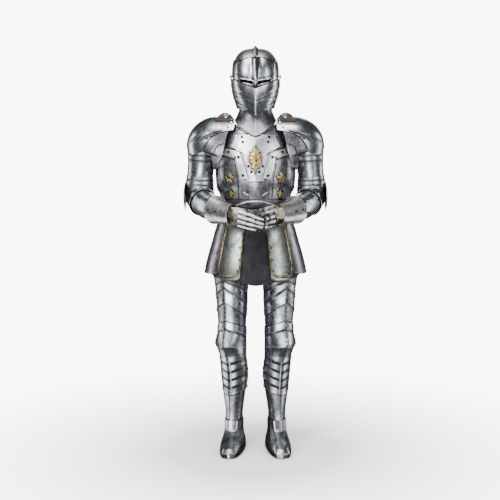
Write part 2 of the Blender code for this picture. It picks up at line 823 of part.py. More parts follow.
def arm_ring(side, part, grow=0.0, count=12):
    """One ring of points round the arm, square to the way the arm runs; also that way."""
    def middle(t):
        row = at(Arm, t)
        return np.array((side * row.x, row.y, row.z))

    run = unit(middle(min(part + 0.02, 1.0)) - middle(max(part - 0.02, 0.0)))
    out = np.array((side, 0.0, 0.0))
    out = unit(out - run * out.dot(run))
    over = np.cross(run, out)
    size = at(Girth, part)
    ring = []
    for a in spread(0, 2 * math.pi, count + 1)[:-1]:
        wide, deep = (size.wide + grow) * math.cos(a), (size.deep + grow) * math.sin(a)
        ring.append(middle(part) + out * wide + over * deep)
    return ring, run


def arm_tube(name, side, stations, slot="steel", wall=LAME_WALL, count=12):
    rings = [arm_ring(side, part, grow, count) for part, grow in stations]
    shell(name, [ring for ring, _ in rings], wall, slot, around=True, axis=[run for _, run in rings])


def elbow_stations():
    stations = []
    middle = len(ELBOW) // 2
    for i, part in enumerate(ELBOW):
        proud = 0.0016 * (middle - abs(i - middle))
        if i:
            stations.append((part - 0.002, proud if i <= middle else proud + 0.0016))
        if i < len(ELBOW) - 1:
            stations.append((part, proud + (0.0016 if i < middle else 0.0) - (0.0017 if i == 0 else 0.0)))
    return stations


def arm(side_name, side):
    pauldron(side_name, side)
    upper = []
    for part, lift in lames(UPPER_ARM, 0.0014, 0):
        upper.append((part, lift - 0.0010))
    arm_tube("rerebrace_" + side_name, side, upper)
    arm_tube("elbow_lames_" + side_name, side, [(part, lift + 0.0032) for part, lift in elbow_stations()])
    arm_tube("vambrace_" + side_name, side, VAMBRACE, wall=WALL)
    arm_tube("gauntlet_cuff_" + side_name, side, CUFF, wall=WALL)
    elbow_fin(side_name, side)


def elbow_fin(side_name, side):
    """The scalloped wing plate that stands over the outer side of the elbow."""
    centre = np.array((side * FIN_X, FIN_Y, FIN_Z))
    grid = []
    count = FIN_LOBES * 3
    for part in (0.0, 0.6, 1.0):
        row = []
        for i in range(count):
            a = 2 * math.pi * i / count
            lobe = 1 + FIN_SCALLOP * part ** 3 * math.cos(FIN_LOBES * a)
            reach = (FIN_HUB + (FIN_RADIUS - FIN_HUB) * part) * lobe
            dish = -side * FIN_DEPTH * part ** 2
            row.append(centre + np.array((dish, reach * math.cos(a), reach * math.sin(a))))
        grid.append(row)
    middle = (side * (FIN_X - 0.08), FIN_Y, FIN_Z)
    shell("elbow_fin_" + side_name, grid, WALL, "dark_steel", around=True, centre=middle)


def gauntlet(side_name, side):
    """Plate over the back of the hand that runs on in four ridged rows of finger lames."""
    start = np.array(HAND_START[side_name])
    wrist = sorted(arm_ring(side, WRIST_PART, WRIST_GROW, 24)[0], key=lambda point: -side * point[0])[:13]
    wrist.sort(key=lambda point: point[2])
    grid = [wrist]
    for part, lift in FINGER_LAMES:
        size = at(Hand, part)
        ridge = FINGER_RIDGE * eased((part - 0.30) / 0.2)
        half = HAND_HALF_HEIGHT * (HAND_START_HALF[side_name] + 0.22 * part - 0.19 * part ** 3)
        lean = HAND_LEAN[side_name] * eased(part / 0.35)
        wrap = HAND_WRAP * (0.2 + 0.8 * eased(part / 0.35))
        row = []
        for across in spread(-1, 1, 13):
            wave = ridge * (abs(math.sin(2 * math.pi * across)) - 0.5)
            x = start[0] - side * HAND_LENGTH[side_name] * part
            y = start[1] - size.bulge - lean - wave - lift + wrap * abs(across) ** 3
            row.append((x, y, start[2] + size.drop + half * across))
        grid.append(row)
    palm = (start[0], start[1] + 0.05, start[2])
    shell("gauntlet_" + side_name, grid, WALL, "steel", axis=(1, 0, 0), centre=palm)


def keel_at(height):
    return CHEST_KEEL * eased((height - KEEL_LOW) / 0.08) * (1 - eased((height - 1.36) / 0.10))


def body_ring(angle, height, lift=0.0):
    row = at(Body, height)
    turn = (angle + math.pi) % (2 * math.pi) - math.pi
    wide, front, back = row.half_width + lift, row.front + lift, row.back + lift
    x, y = section(wide, front, back, turn, BODY_POWER, keel_at(height), KEEL_SPREAD)
    return x, y, height


def body_point(x, height, lift=0.0):
    """Point on the front of the body above this x, moved out square to the surface."""
    def bare(u, v):
        row = at(Body, v)
        part = min(abs(u) / row.half_width, 0.995)
        y = -row.front * (1 - part ** BODY_POWER) ** (1 / BODY_POWER)
        return np.array((u, y - keel_at(v) * max(0.0, 1 - abs(u) / (KEEL_SPREAD * row.half_width)), v))

    e = 0.004
    normal = np.cross(bare(x + e, height) - bare(x - e, height), bare(x, height + e) - bare(x, height - e))
    normal = unit(normal)
    if normal[1] > 0:
        normal = -normal
    return bare(x, height) + normal * lift


def half_angle(height):
    part = eased((height - ARMHOLE_Z) / (BREAST_TOP - ARMHOLE_Z))
    return SIDE_SEAM + (TOP_HALF_ANGLE - SIDE_SEAM) * part


def torso():
    front, back = [], []
    for height in spread(BREAST_TOP, BREAST_LOW, 10):
        reach = half_angle(height)
        front.append([body_ring(reach * part, height) for part in BREAST_COLUMNS])
        back.append([body_ring(math.pi + reach * part, height) for part in BACK_COLUMNS])
    shell("breastplate", front, WALL, "steel", axis=(0, 0, 1), centre=(0, 0, 1.3))
    shell("backplate", back, WALL, "steel", axis=(0, 0, 1), centre=(0, 0, 1.3))


def chest_plates():
    grid = []
    for height in BIB_ROWS:
        half = at(Bib, height).half_width
        grid.append([body_point(half * part, height, LAYER + 0.0015) for part in BIB_COLUMNS])
    shell("bib_plate", grid, WALL, "steel", centre=(0, 0, 1.3))
    for side_name, side in SIDES.items():
        grid = []
        for part in BAND_STATIONS:
            here, ahead = at(Band, max(part - 0.02, 0)), at(Band, min(part + 0.02, 1))
            run = unit(np.array((ahead.across - here.across, ahead.height - here.height)))
            middle = at(Band, part)
            width = middle.half_width
            row = []
            for edge, rise in ((-1, 0.0), (-0.7, BAND_RISE), (0.7, BAND_RISE), (1, 0.0)):
                x = middle.across - run[1] * width * edge
                height = middle.height + run[0] * width * edge
                row.append(body_point(side * x, height, 2 * LAYER + 0.0012 + rise))
            grid.append(row)
        shell("chest_band_" + side_name, grid, WALL, "steel", centre=(0, 0, 1.3))


def collar():
    grid = []
    for height, lift in lames([1.558, 1.536, 1.496], 0.0010, 0):
        row = at(Collar, height)
        angles = spread(-math.pi, math.pi, 16)[:-1]
        grid.append([])
        for a in angles:
            x, y = section(row.half_width + lift, row.front + lift, row.back + lift, a)
            grid[-1].append((x, y, height))
    shell("gorget_collar", grid, LAME_WALL, "steel", around=True, axis=(0, 0, 1))


def gorget(name, angles, low_z, turn):
    grid = []
    for part in spread(0, 1, 5):
        row = []
        for a in angles:
            side = abs(math.sin(a))
            neck = np.array((*section(0.0787, 0.0884, 0.0835, a + turn), 1.532 + 0.010 * side))
            x = GORGET_SHOULDER * math.sin(a + turn) * (1.0 - 0.12 * math.cos(2 * a) ** 2)
            z = low_z + (GORGET_SIDE_Z - low_z) * side ** 1.3
            size = at(Body, z)
            depth = size.front + 2 * LAYER + 0.0042 if turn == 0 else size.back + LAYER + 0.0024
            aside = min(abs(x) / (size.half_width + 0.012), 0.995)
            y = depth * (1 - aside ** BODY_POWER) ** (1 / BODY_POWER)
            y = -y if turn == 0 else y
            edge = np.array((x, y if side < 0.999 else math.copysign(SEAM, y), z))
            bend = neck * 0.62 + edge * 0.38
            bend[2] -= 0.022 * (1 - 0.55 * side)
            row.append(neck * (1 - part) ** 2 + bend * 2 * part * (1 - part) + edge * part ** 2)
        grid.append(row)
    shell(name, grid, WALL, "dark_steel", centre=(0, 0, 1.44))


def gorget_plates():
    front = [math.radians(a) for a in mirrored_stations(12, 26, 42, 58, 74, 88)]
    gorget("gorget_front", front, GORGET_POINT_Z, 0.0)
    gorget("gorget_back", [math.radians(a) for a in spread(-88, 88, 11)], GORGET_BACK_Z, math.pi)


def fauld():
    grid = []
    for height, lift in lames([FAULD_TOP, 1.106, 1.071, FAULD_LOW], 0.0014, 0):
        angles = spread(-math.pi, math.pi, 23)[:-1]
        grid.append([body_ring(a, height, LAYER + 0.0015 + lift) for a in angles])
    shell("fauld", grid, LAME_WALL, "steel", around=True, axis=(0, 0, 1))


def angle_of(x, height, lift):
    """The angle round the body at which its section passes this x."""
    row = at(Body, height)
    part = min(abs(x) / (row.half_width + lift), 0.98)
    depth = (1 - part ** BODY_POWER) ** (1 / BODY_POWER)
    return math.atan2(part, depth)


def skirt_grid(first, last, low, rows=6, columns=7, corner=0.010):
    """Rows of a hanging plate between two edge angles, its lower corners rounded."""
    grid = []
    for part in spread(0, 1, rows):
        row = []
        for across in spread(0, 1, columns):
            end = abs(2 * across - 1) ** 5
            height = SKIRT_TOP + (low(across) + corner * end - SKIRT_TOP) * part
            a = first(height) * (1 - across) + last(height) * across
            row.append(body_ring(a, height, SKIRT_LIFT + 0.004 * part))
        grid.append(row)
    return grid


def skirt():
    for side_name, side in SIDES.items():
        def seam_angle(height, gap=0.0):
            return side * (angle_of(at(Skirt, height).outer_x, height, SKIRT_LIFT) + gap)

        def inner_angle(height):
            return side * angle_of(at(Skirt, height).inner_x, height, SKIRT_LIFT)

        front = skirt_grid(inner_angle, seam_angle, lambda across: TASSET_LOW)
        shell("tasset_front_" + side_name, front, WALL, "steel", axis=(0, 0, 1), centre=(0, 0, 0.92))
        outer = skirt_grid(
            lambda height: seam_angle(height, 0.0042),
            lambda height: side * BACK_EDGE,
            lambda across: SIDE_LOW,
            columns=8,
        )
        shell("tasset_side_" + side_name, outer, WALL, "steel", axis=(0, 0, 1), centre=(0, 0, 0.92))
    back = skirt_grid(
        lambda height: BACK_EDGE + 0.006,
        lambda height: 2 * math.pi - BACK_EDGE - 0.006,
        lambda across: SIDE_LOW - 0.01,
        columns=11,
    )
    shell("culet", back, WALL, "steel", axis=(0, 0, 1), centre=(0, 0, 0.92))


def mail_skirt():
    grid = []
    for part in spread(0, 1, 5):
        row = []
        for a in spread(-math.pi, math.pi, 4 * MAIL_FOLDS + 1)[:-1]:
            low = MAIL_LOW + MAIL_SIDE_RISE * min(abs(a) * 2 / math.pi, 1.0)
            height = MAIL_TOP + (low - MAIL_TOP) * part
            fold = MAIL_FOLD * eased(part * 1.6) * (math.cos(MAIL_FOLDS * a) - 1)
            row.append(body_ring(a, height, MAIL_SINK + fold))
        grid.append(row)
    shell("mail_skirt", grid, LAME_WALL, "mail", around=True, axis=(0, 0, 1))


def straps():
    for side_name, side in SIDES.items():
        grid = []
        for x in spread(STRAP_IN, STRAP_OUT, 7):
            row = []
            for pitch in spread(*STRAP_PITCH, 4):
                dip = STRAP_DIP * eased((at(Wing, pitch).inner_x - 0.004 - x) / 0.030)
                row.append(shoulder_point(side, x, pitch, LAYER + 0.0004 - dip))
            grid.append(row)
        shell("pauldron_strap_" + side_name, grid, LAME_WALL, "leather", centre=(side * 0.14, 0, 1.40))
        grid = []
        for height in (1.202, 1.190, 1.178):
            angles = [side * math.radians(a) for a in spread(68, 112, 7)]
            grid.append([body_ring(a, height, LAYER + 0.0005) for a in angles])
        shell("side_strap_" + side_name, grid, LAME_WALL, "leather", axis=(0, 0, 1), centre=(0, 0, 1.19))


def relief(name, outline, x, height, scale, wide, lift):
    """A raised gilt motif laid on the chest; its outline is how far it reaches at each turn."""
    grid = []
    turns = list(outline[1])
    around = turns + [180 - turn for turn in turns[-2:0:-1]]
    for part, rise in ((0.0, 0.0026), (0.45, 0.0020), (1.0, 0.0)):
        row = []
        for turn in around:
            shown = turn if turn <= 90 else 180 - turn
            reach = at(outline, shown).reach * scale * part
            u, v = wide * reach * math.cos(math.radians(turn)), reach * math.sin(math.radians(turn))
            row.append(body_point(x + u, height + v, lift + rise))
        grid.append(row)
    shell(name, grid, 0.0014, "gilt", around=True, centre=(0, 0, height))


def ornaments():
    relief("chest_ornament", Palmette, 0.0, 1.318, 1.0, 0.78, 2 * LAYER + 0.0008)
    for side_name, side in SIDES.items():
        relief("fleur_upper_" + side_name, Fleur, side * 0.1150, 1.2350, 1.0, 0.85, LAYER - 0.0010)
        relief("fleur_lower_" + side_name, Fleur, side * 0.1120, 1.1650, 0.80, 0.85, LAYER - 0.0007)


def leg_ring(side, ridge_z, drop=0.0, lift=0.0, bump=0.0, wing=0.0):
    """A ring round the leg: drop is how far its edge falls from the front ridge to the sides."""
    ring = []
    for a in spread(-math.pi, math.pi, LEG_COLUMNS + 1)[:-1]:
        height = ridge_z - drop * min(abs(a) / (0.5 * math.pi), 1.0)
        size = at(Leg, height)
        front = size.front + bump * max(0.0, math.cos(a)) ** 2
        across = size.side + (wing * max(0.0, math.sin(a) * side) ** 3)
        x, y = section(across + lift, front + lift, size.back + lift, a, LEG_POWER, SHIN_RIDGE, 0.40)
        yaw = LEG_YAW * side
        turned_x = x * math.cos(yaw) - y * math.sin(yaw)
        turned_y = x * math.sin(yaw) + y * math.cos(yaw)
        ring.append((side * size.x + turned_x, size.y + turned_y, height))
    return ring


def leg_piece(name, side, stations, slot="steel", wall=LAME_WALL):
    grid = [leg_ring(side, *station) for station in stations]
    shell(name, grid, wall, slot, around=True, axis=(0, 0, 1))


def fanned(edges, lift=0.0, step=LAME_STEP):
    """Stations of overlapping lames, each edge with a drop of its own."""
    stations = []
    for edge, following in zip(edges, edges[1:]):
        begin = edge.height - (STEP_RUN if stations else 0.0)
        stations.append((begin, edge.drop, lift))
        stations.append((following.height, following.drop, lift + step))
    return stations


def leg(side_name, side):
    thigh = fanned(CUISSE_LAME_EDGES, LAYER - 0.0005)
    leg_piece("cuisse_lames_" + side_name, side, thigh)
    leg_piece("cuisse_" + side_name, side, CUISSE)
    leg_piece("poleyn_" + side_name, side, POLEYN)
    shin = fanned(GREAVE_LAME_EDGES, -0.0006)
    leg_piece("greave_lames_" + side_name, side, shin)
    leg_piece("greave_" + side_name, side, GREAVE, wall=WALL)
    sabaton(side_name, side)


def foot_ring(side, height, lift=0.0, shrink=1.0):
    size = at(Foot, height)
    ring = []
    for i in range(FOOT_COLUMNS):
        a = 2 * math.pi * i / FOOT_COLUMNS
        ahead = math.cos(a)
        power = TOE_POWER if ahead > 0 else 2.1
        reach = (abs(math.sin(a)) ** power + abs(ahead) ** power) ** (-1 / power)
        length = size.toe if ahead > 0 else size.heel
        front = length * reach * ahead
        narrow = 1 - size.toe_width * 0.30 * max(0.0, front / 0.215) ** 2
        across = size.half * reach * math.sin(a) * narrow
        proud = lift * max(0.0, ahead) ** 0.5 * (1 if ahead > 0.2 else 0)
        front = (front + proud) * shrink
        across *= shrink
        yaw = FOOT_YAW * side
        x = across * math.cos(yaw) + front * math.sin(yaw)
        y = across * math.sin(yaw) - front * math.cos(yaw)
        ring.append((side * FOOT_X + x, FOOT_Y + y, height))
    return ring


def sabaton(side_name, side):
    grid = [foot_ring(side, 0.0, 0.0, 1e-7), foot_ring(side, 0.0, 0.0, 0.93)]
    for height, lift in SABATON:
        grid.append(foot_ring(side, height, lift))
    shell("sabaton_" + side_name, grid, WALL, "steel", around=True)


def place(names, point):
    """Puts these objects' origins on a point of their axis."""
    for name in names:
        made = bpy.data.objects[name]
        made.data.transform(Matrix.Translation(-Vector(point)))
        made.location = point


clear_scene()
helmet_skull()
visor()
face_guard()
pivots()
neck_guard()
torso()
chest_plates()
collar()
gorget_plates()
fauld()
skirt()
mail_skirt()
straps()
ornaments()
for side_name, side in SIDES.items():
    arm(side_name, side)
    gauntlet(side_name, side)
    leg(side_name, side)
place(("helmet_skull", "visor", "ventail", "bevor"), (0.0, PIVOT_Y, PIVOT_Z))
for made in bpy.data.objects:
    made.location.y += FRAME_SHIFT_Y
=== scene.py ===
"""The looks of a standing suit of polished plate armour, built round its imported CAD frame.

Metres, +Z up; the suit faces -Y and +X is the wearer's left. Every plate is the CAD plate with its facets
turned into one smooth surface through the same points, and rivets, straps, buckles, gilding and mail are
set on those plates.
"""

import json
import math

import bmesh
import bpy
import numpy as np
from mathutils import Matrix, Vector
from mathutils.bvhtree import BVHTree
from mathutils.kdtree import KDTree


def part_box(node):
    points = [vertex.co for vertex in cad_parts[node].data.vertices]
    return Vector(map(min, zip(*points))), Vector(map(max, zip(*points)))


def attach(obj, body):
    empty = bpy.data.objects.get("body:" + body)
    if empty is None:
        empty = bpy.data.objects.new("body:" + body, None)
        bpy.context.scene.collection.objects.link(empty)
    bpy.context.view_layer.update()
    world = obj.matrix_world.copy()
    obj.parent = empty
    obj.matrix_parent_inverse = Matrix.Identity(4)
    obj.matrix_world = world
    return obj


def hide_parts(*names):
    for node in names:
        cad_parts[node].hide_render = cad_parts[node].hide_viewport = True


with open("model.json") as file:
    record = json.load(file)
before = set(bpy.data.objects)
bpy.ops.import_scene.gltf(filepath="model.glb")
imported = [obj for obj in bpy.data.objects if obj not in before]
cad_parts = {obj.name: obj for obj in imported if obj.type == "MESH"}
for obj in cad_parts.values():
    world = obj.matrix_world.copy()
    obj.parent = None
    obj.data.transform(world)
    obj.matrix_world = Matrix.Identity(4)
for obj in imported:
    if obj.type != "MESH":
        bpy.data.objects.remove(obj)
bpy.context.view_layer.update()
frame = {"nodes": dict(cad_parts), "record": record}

NODES = frame["nodes"]
BODIES = frame["record"]["behaviour"]["bodies"]
BODY_OF = {name: body for body, names in BODIES.items() for name in names}

# The camera of the photograph: at chest height, its frame reaching down to take in the feet. The details
# are placed along the lines of a level camera; the one that looks is tilted by half as much as the frame
# reaches down, so that only the other half is left to the shift.
PHOTO_PIXELS = 500
CAMERA_DISTANCE = 4.147
CAMERA_HEIGHT = 1.251
CAMERA_LENS = 65.7
HORIZON_ROW = 175
CENTRE_COLUMN = 255.5
CAMERA_TILT = math.radians(2.12)
AXIS_ROW = 209.2
TILTED_LENS = 66.02

# How plates are smoothed: the corners of the CAD that count as one point, the triangles that make one flat
# four-sided face, and the rounds in which the smooth surface is brought back on to the CAD's own points.
MERGE_DISTANCE = 2e-5
PAIRING_BEND = 0.60
PAIRING_SKEW = 1.2
SMOOTH_LEVEL = 2
SHARP_ANGLE = math.radians(31)
FIT_ROUNDS = 5
FIT_SHARE = 0.9

# How far painted shade reaches from an inner corner and from a plate lying on top, and a painted highlight
# with rim wear from a rim. A point is shaded beside a rim that stands no more than LEVEL_WITH below it, and
# never where it shines like a rim.
EDGE_SPACING = 0.003
SHADE_REACH = 0.009
COVER_REACH = 0.008
RIM_SHEEN_REACH = 0.006
RIM_SHINE = 0.9
LEVEL_WITH = -0.0001

SENSOR_WIDTH = 36.0

# Details: the step along a path in pixels of the photograph, the spots on each side that even out a normal,
# and how far a band that hugs the plate looks for it.
PATH_STEP = 1.2
EVENED = 4
HUG_REACH = 0.006
DETAIL_SHARP = math.radians(50)

SIDES = {"right": -1.0, "left": 1.0}


def unit(vector):
    return Vector(vector).normalized()


def link(name, mesh):
    piece = bpy.data.objects.new(name, mesh)
    bpy.context.scene.collection.objects.link(piece)
    return piece


def mesh_of(name, points, faces):
    mesh = bpy.data.meshes.new(name)
    mesh.from_pydata([tuple(p) for p in points], [], faces)
    mesh.update()
    return mesh


# Materials


class Graph:
    """The node tree of one material, with short calls for the nodes used here."""

    def __init__(self, name):
        self.material = bpy.data.materials.new(name)
        self.material.use_nodes = True
        self.tree = self.material.node_tree
        self.shader = self.tree.nodes["Principled BSDF"]
        self.place = self.tree.nodes.new("ShaderNodeTexCoord").outputs["Object"]

    def join(self, source, target):
        self.tree.links.new(source, target)

    def node(self, kind, inputs=None, **settings):
        made = self.tree.nodes.new(kind)
        for key, value in settings.items():
            setattr(made, key, value)
        for key, value in (inputs or {}).items():
            if isinstance(value, bpy.types.NodeSocket):
                self.join(value, made.inputs[key])
            else:
                made.inputs[key].default_value = value
        return made

    def noise(self, scale, detail=4.0, roughness=0.55, stretch=None, distortion=0.0):
        place = self.place
        if stretch:
            place = self.node("ShaderNodeMapping", {"Vector": place, "Scale": stretch}).outputs["Vector"]
        inputs = {"Vector": place, "Scale": scale, "Detail": detail, "Roughness": roughness}
        inputs["Distortion"] = distortion
        return self.node("ShaderNodeTexNoise", inputs).outputs["Fac"]

    def math(self, operation, first, second=0.0, clamp=False):
        made = self.node("ShaderNodeMath", {0: first, 1: second}, operation=operation, use_clamp=clamp)
        return made.outputs["Value"]

    def ramp(self, value, *stops):
        made = self.node("ShaderNodeValToRGB", {"Fac": value})
        ramp = made.color_ramp
        while len(ramp.elements) < len(stops):
            ramp.elements.new(0.5)
        for element, (position, colour) in zip(ramp.elements, stops):
            element.position = position
            element.color = (*colour, 1.0) if isinstance(colour, tuple) else (colour, colour, colour, 1.0)
        return made.outputs["Color"]

    def mix(self, factor, first, second, blend="MIX"):
        made = self.node("ShaderNodeMix", {"Factor": factor}, data_type="RGBA", blend_type=blend)
        for socket, value in ((made.inputs[6], first), (made.inputs[7], second)):
            if isinstance(value, bpy.types.NodeSocket):
                self.join(value, socket)
            else:
                socket.default_value = (*value, 1.0)
        return made.outputs[2]

    def bump(self, height, strength, distance, below=None):
        inputs = {"Height": height, "Strength": strength, "Distance": distance}
        if below:
            inputs["Normal"] = below
        return self.node("ShaderNodeBump", inputs).outputs["Normal"]

    def recess(self, reach):
        """1 in the open and falling to 0 deep in a seam between plates."""
        made = self.node("ShaderNodeAmbientOcclusion", {"Distance": reach}, samples=8)
        return made.outputs["AO"]

    def stored(self, name):
        return self.node("ShaderNodeAttribute", attribute_name=name).outputs["Fac"]

    def finish(self, colour, roughness, normal, **constants):
        self.join(colour, self.shader.inputs["Base Color"])
        if roughness:
            self.join(roughness, self.shader.inputs["Roughness"])
        if normal:
            self.join(normal, self.shader.inputs["Normal"])
        for key, value in constants.items():
            self.shader.inputs[key.replace("_", " ")].default_value = value
        return self.material


def steel(name, bright, dark, polish=0.20, patina=0.5, wavy=0.22):
    """Hand-polished plate: cloudy patina, painted shade in the seams and beside overlapping plates, a painted
    highlight with rim wear along rims, fine scratches and a faint hammered wave.
    """
    g = Graph(name)
    cloud = g.noise(11.0, 6.0, 0.62, distortion=0.6)
    fleck = g.noise(85.0, 5.0, 0.7)
    scratch = g.noise(60.0, 3.0, 0.5, stretch=(9.0, 9.0, 0.8))
    wave = g.noise(26.0, 2.0, 0.4)
    between = tuple(0.35 * d + 0.65 * b for d, b in zip(dark, bright))
    clouded = g.math("ADD", g.math("MULTIPLY", cloud, 0.66), g.math("MULTIPLY", fleck, 0.34))
    tone = g.ramp(clouded, (0.36, dark), (0.50, between), (0.60, bright))
    # Painted shade: darker deep in seams and between plates, from the occlusion around each point.
    painted_shade = g.ramp(g.recess(0.016), (0.30, 0.02), (0.66, 0.30), (0.84, 0.86), (0.95, 1.0))
    colour = g.mix(0.96, tone, painted_shade, "MULTIPLY")
    # Painted shade stored on the points: towards near-black beside inner corners and beside plates lying on
    # top.
    painted_shade_amount = g.math("MULTIPLY", g.stored("painted_shade"), 1.35, clamp=True)
    colour = g.mix(painted_shade_amount, colour, tuple(0.06 * d for d in dark))
    # Painted highlight, partly rim wear: lighter along outward rims and steps.
    sheen_and_wear_colour = tuple(min(1.0, 1.15 * b) for b in bright)
    colour = g.mix(g.math("MULTIPLY", g.stored("wear"), 0.6), colour, sheen_and_wear_colour)
    rough = g.math("ADD", polish, g.math("MULTIPLY", g.math("SUBTRACT", 1.0, cloud), patina * 0.42))
    rough = g.math("ADD", rough, g.math("MULTIPLY", g.math("SUBTRACT", fleck, 0.5), 0.16))
    rough = g.math("ADD", rough, g.math("MULTIPLY", g.stored("painted_shade"), 0.25), clamp=True)
    normal = g.bump(wave, wavy, 0.004)
    normal = g.bump(scratch, 0.10, 0.0006, normal)
    normal = g.bump(fleck, 0.14, 0.0008, normal)
    return g.finish(colour, rough, normal, Metallic=1.0)


def gilt():
    g = Graph("gilt")
    cloud = g.noise(70.0, 5.0, 0.65)
    grain = g.noise(320.0, 3.0, 0.6)
    dark, middle, bright = (0.10, 0.065, 0.025), (0.46, 0.34, 0.14), (0.80, 0.66, 0.36)
    tone = g.ramp(cloud, (0.34, dark), (0.50, middle), (0.66, bright))
    # Painted shade: darker deep in recesses, from the occlusion around each point.
    colour = g.mix(0.95, tone, g.ramp(g.recess(0.008), (0.35, 0.06), (0.90, 1.0)), "MULTIPLY")
    rough = g.math("ADD", 0.22, g.math("MULTIPLY", grain, 0.22))
    return g.finish(colour, rough, g.bump(grain, 0.25, 0.0006), Metallic=1.0)


def leather():
    g = Graph("leather")
    cloud = g.noise(34.0, 5.0, 0.6)
    cells = g.node("ShaderNodeTexVoronoi", {"Vector": g.place, "Scale": 620.0}).outputs["Distance"]
    dark, middle, bright = (0.008, 0.004, 0.003), (0.034, 0.013, 0.007), (0.085, 0.036, 0.018)
    tone = g.ramp(cloud, (0.32, dark), (0.55, middle), (0.74, bright))
    rough = g.math("ADD", 0.42, g.math("MULTIPLY", cloud, 0.28))
    normal = g.bump(cells, 0.45, 0.0005, g.bump(cloud, 0.3, 0.002))
    return g.finish(tone, rough, normal, Sheen_Weight=0.08)


def mail():
    """Riveted rings, 7 mm across in staggered rows: bright wire over dark gaps."""
    g = Graph("mail")
    ring, skirt_radius = 0.0072, 0.150
    split = g.node("ShaderNodeSeparateXYZ", {"Vector": g.place})
    turn = g.math("ARCTAN2", split.outputs["X"], split.outputs["Y"])
    around = g.math("MULTIPLY", turn, skirt_radius / ring)
    up = g.math("DIVIDE", split.outputs["Z"], ring * 0.62)
    row = g.math("FLOOR", up)
    shifted = g.math("ADD", around, g.math("MULTIPLY", g.math("MODULO", row, 2.0), 0.5))
    across = g.math("ABSOLUTE", g.math("SUBTRACT", g.math("FRACT", shifted), 0.5))
    along = g.math("ABSOLUTE", g.math("SUBTRACT", g.math("FRACT", up), 0.5))
    flattened = g.math("POWER", g.math("MULTIPLY", along, 0.9), 2.0)
    reach = g.math("SQRT", g.math("ADD", g.math("POWER", across, 2.0), flattened))
    off_wire = g.math("ABSOLUTE", g.math("SUBTRACT", reach, 0.33))
    wire = g.math("SUBTRACT", 1.0, g.math("MULTIPLY", off_wire, 5.2), clamp=True)
    cloud = g.noise(24.0, 4.0, 0.6)
    worn = g.math("MULTIPLY", wire, g.math("ADD", 0.45, g.math("MULTIPLY", cloud, 0.8)))
    dark, middle, bright = (0.010, 0.009, 0.012), (0.060, 0.056, 0.068), (0.24, 0.23, 0.26)
    tone = g.ramp(worn, (0.05, dark), (0.45, middle), (0.95, bright))
    rough = g.math("SUBTRACT", 0.62, g.math("MULTIPLY", wire, 0.26))
    return g.finish(tone, rough, g.bump(wire, 0.9, 0.0014), Metallic=0.9)


def pit():
    """Near-black painted shade standing in for the dark inside of sights, breaths and slots."""
    g = Graph("dark_gap")
    cloud = g.noise(40.0)
    tone = g.ramp(cloud, (0.3, 0.004), (0.7, 0.014))
    return g.finish(tone, g.math("ADD", 0.6, g.math("MULTIPLY", cloud, 0.3)), None)


def seam_line(name="seam", low=0.004, high=0.014, roughness=0.75):
    """Near-black line colour: painted shade for the dark lines of seams and grooves and for the comb's far
    side, and the blackened iron of the dark rivets.
    """
    g = Graph(name)
    cloud = g.noise(60.0, 4.0)
    tone = g.ramp(cloud, (0.30, (low, low, low * 1.15)), (0.72, (high, high, high * 1.15)))
    rough = g.math("ADD", roughness, g.math("MULTIPLY", cloud, 0.2))
    return g.finish(tone, rough, None, Specular_IOR_Level=0.2)


def olive_gilt():
    g = Graph("olive_gilt")
    cloud = g.noise(55.0, 5.0, 0.65)
    dark, middle, bright = (0.045, 0.042, 0.022), (0.16, 0.145, 0.075), (0.38, 0.35, 0.22)
    tone = g.ramp(cloud, (0.34, dark), (0.52, middle), (0.68, bright))
    rough = g.math("ADD", 0.30, g.math("MULTIPLY", cloud, 0.25))
    return g.finish(tone, rough, g.bump(cloud, 0.25, 0.0010), Metallic=1.0)


FINISH = {
    "steel": steel("steel", (0.62, 0.64, 0.68), (0.10, 0.108, 0.130)),
    "dark_steel": steel("dark_steel", (0.27, 0.26, 0.30), (0.060, 0.056, 0.070), 0.24, 0.6),
    # A darker copy of the steel: painted shade, on the sabatons.
    "shaded_copy_steel": steel("shaded_copy_steel", (0.42, 0.43, 0.45), (0.075, 0.078, 0.088), 0.20, 0.5),
    # A rose copy of the steel: a painted reflection of a rose sky, on the helmet skull.
    "rose_reflection_steel": steel("rose_reflection_steel", (0.52, 0.485, 0.50), (0.17, 0.155, 0.165), 0.30, 0.5),
    "green_steel": steel("green_steel", (0.38, 0.41, 0.385), (0.075, 0.085, 0.076), 0.20, 0.6),
    "violet_steel": steel("violet_steel", (0.32, 0.305, 0.335), (0.065, 0.060, 0.072), 0.20, 0.6),
    "warm_steel": steel("warm_steel", (0.86, 0.83, 0.78), (0.26, 0.25, 0.235), 0.26, 0.4),
    "mail": mail(),
    "gilt": gilt(),
    "leather": leather(),
    # Painted shade standing in for the dark inside of openings.
    "dark_gap": pit(),
    # Painted shade: dark lines along seams and grooves, and the comb's shaded side.
    "seam": seam_line(),
    "dark_rivet": seam_line("dark_rivet", 0.003, 0.010, 0.60),
    "olive_gilt": olive_gilt(),
    "brown_steel": steel("brown_steel", (0.30, 0.265, 0.24), (0.065, 0.055, 0.048), 0.30, 0.6),
}
# A lighter copy of the steel whose brightness is a painted highlight: on the bib and chest band, and on the
# ridges, rims, bands and buckles laid on the plates.
FINISH["bright_steel"] = steel("bright_steel", (0.88, 0.89, 0.91), (0.46, 0.47, 0.50), 0.34, 0.12, 0.06)


# Smooth plates


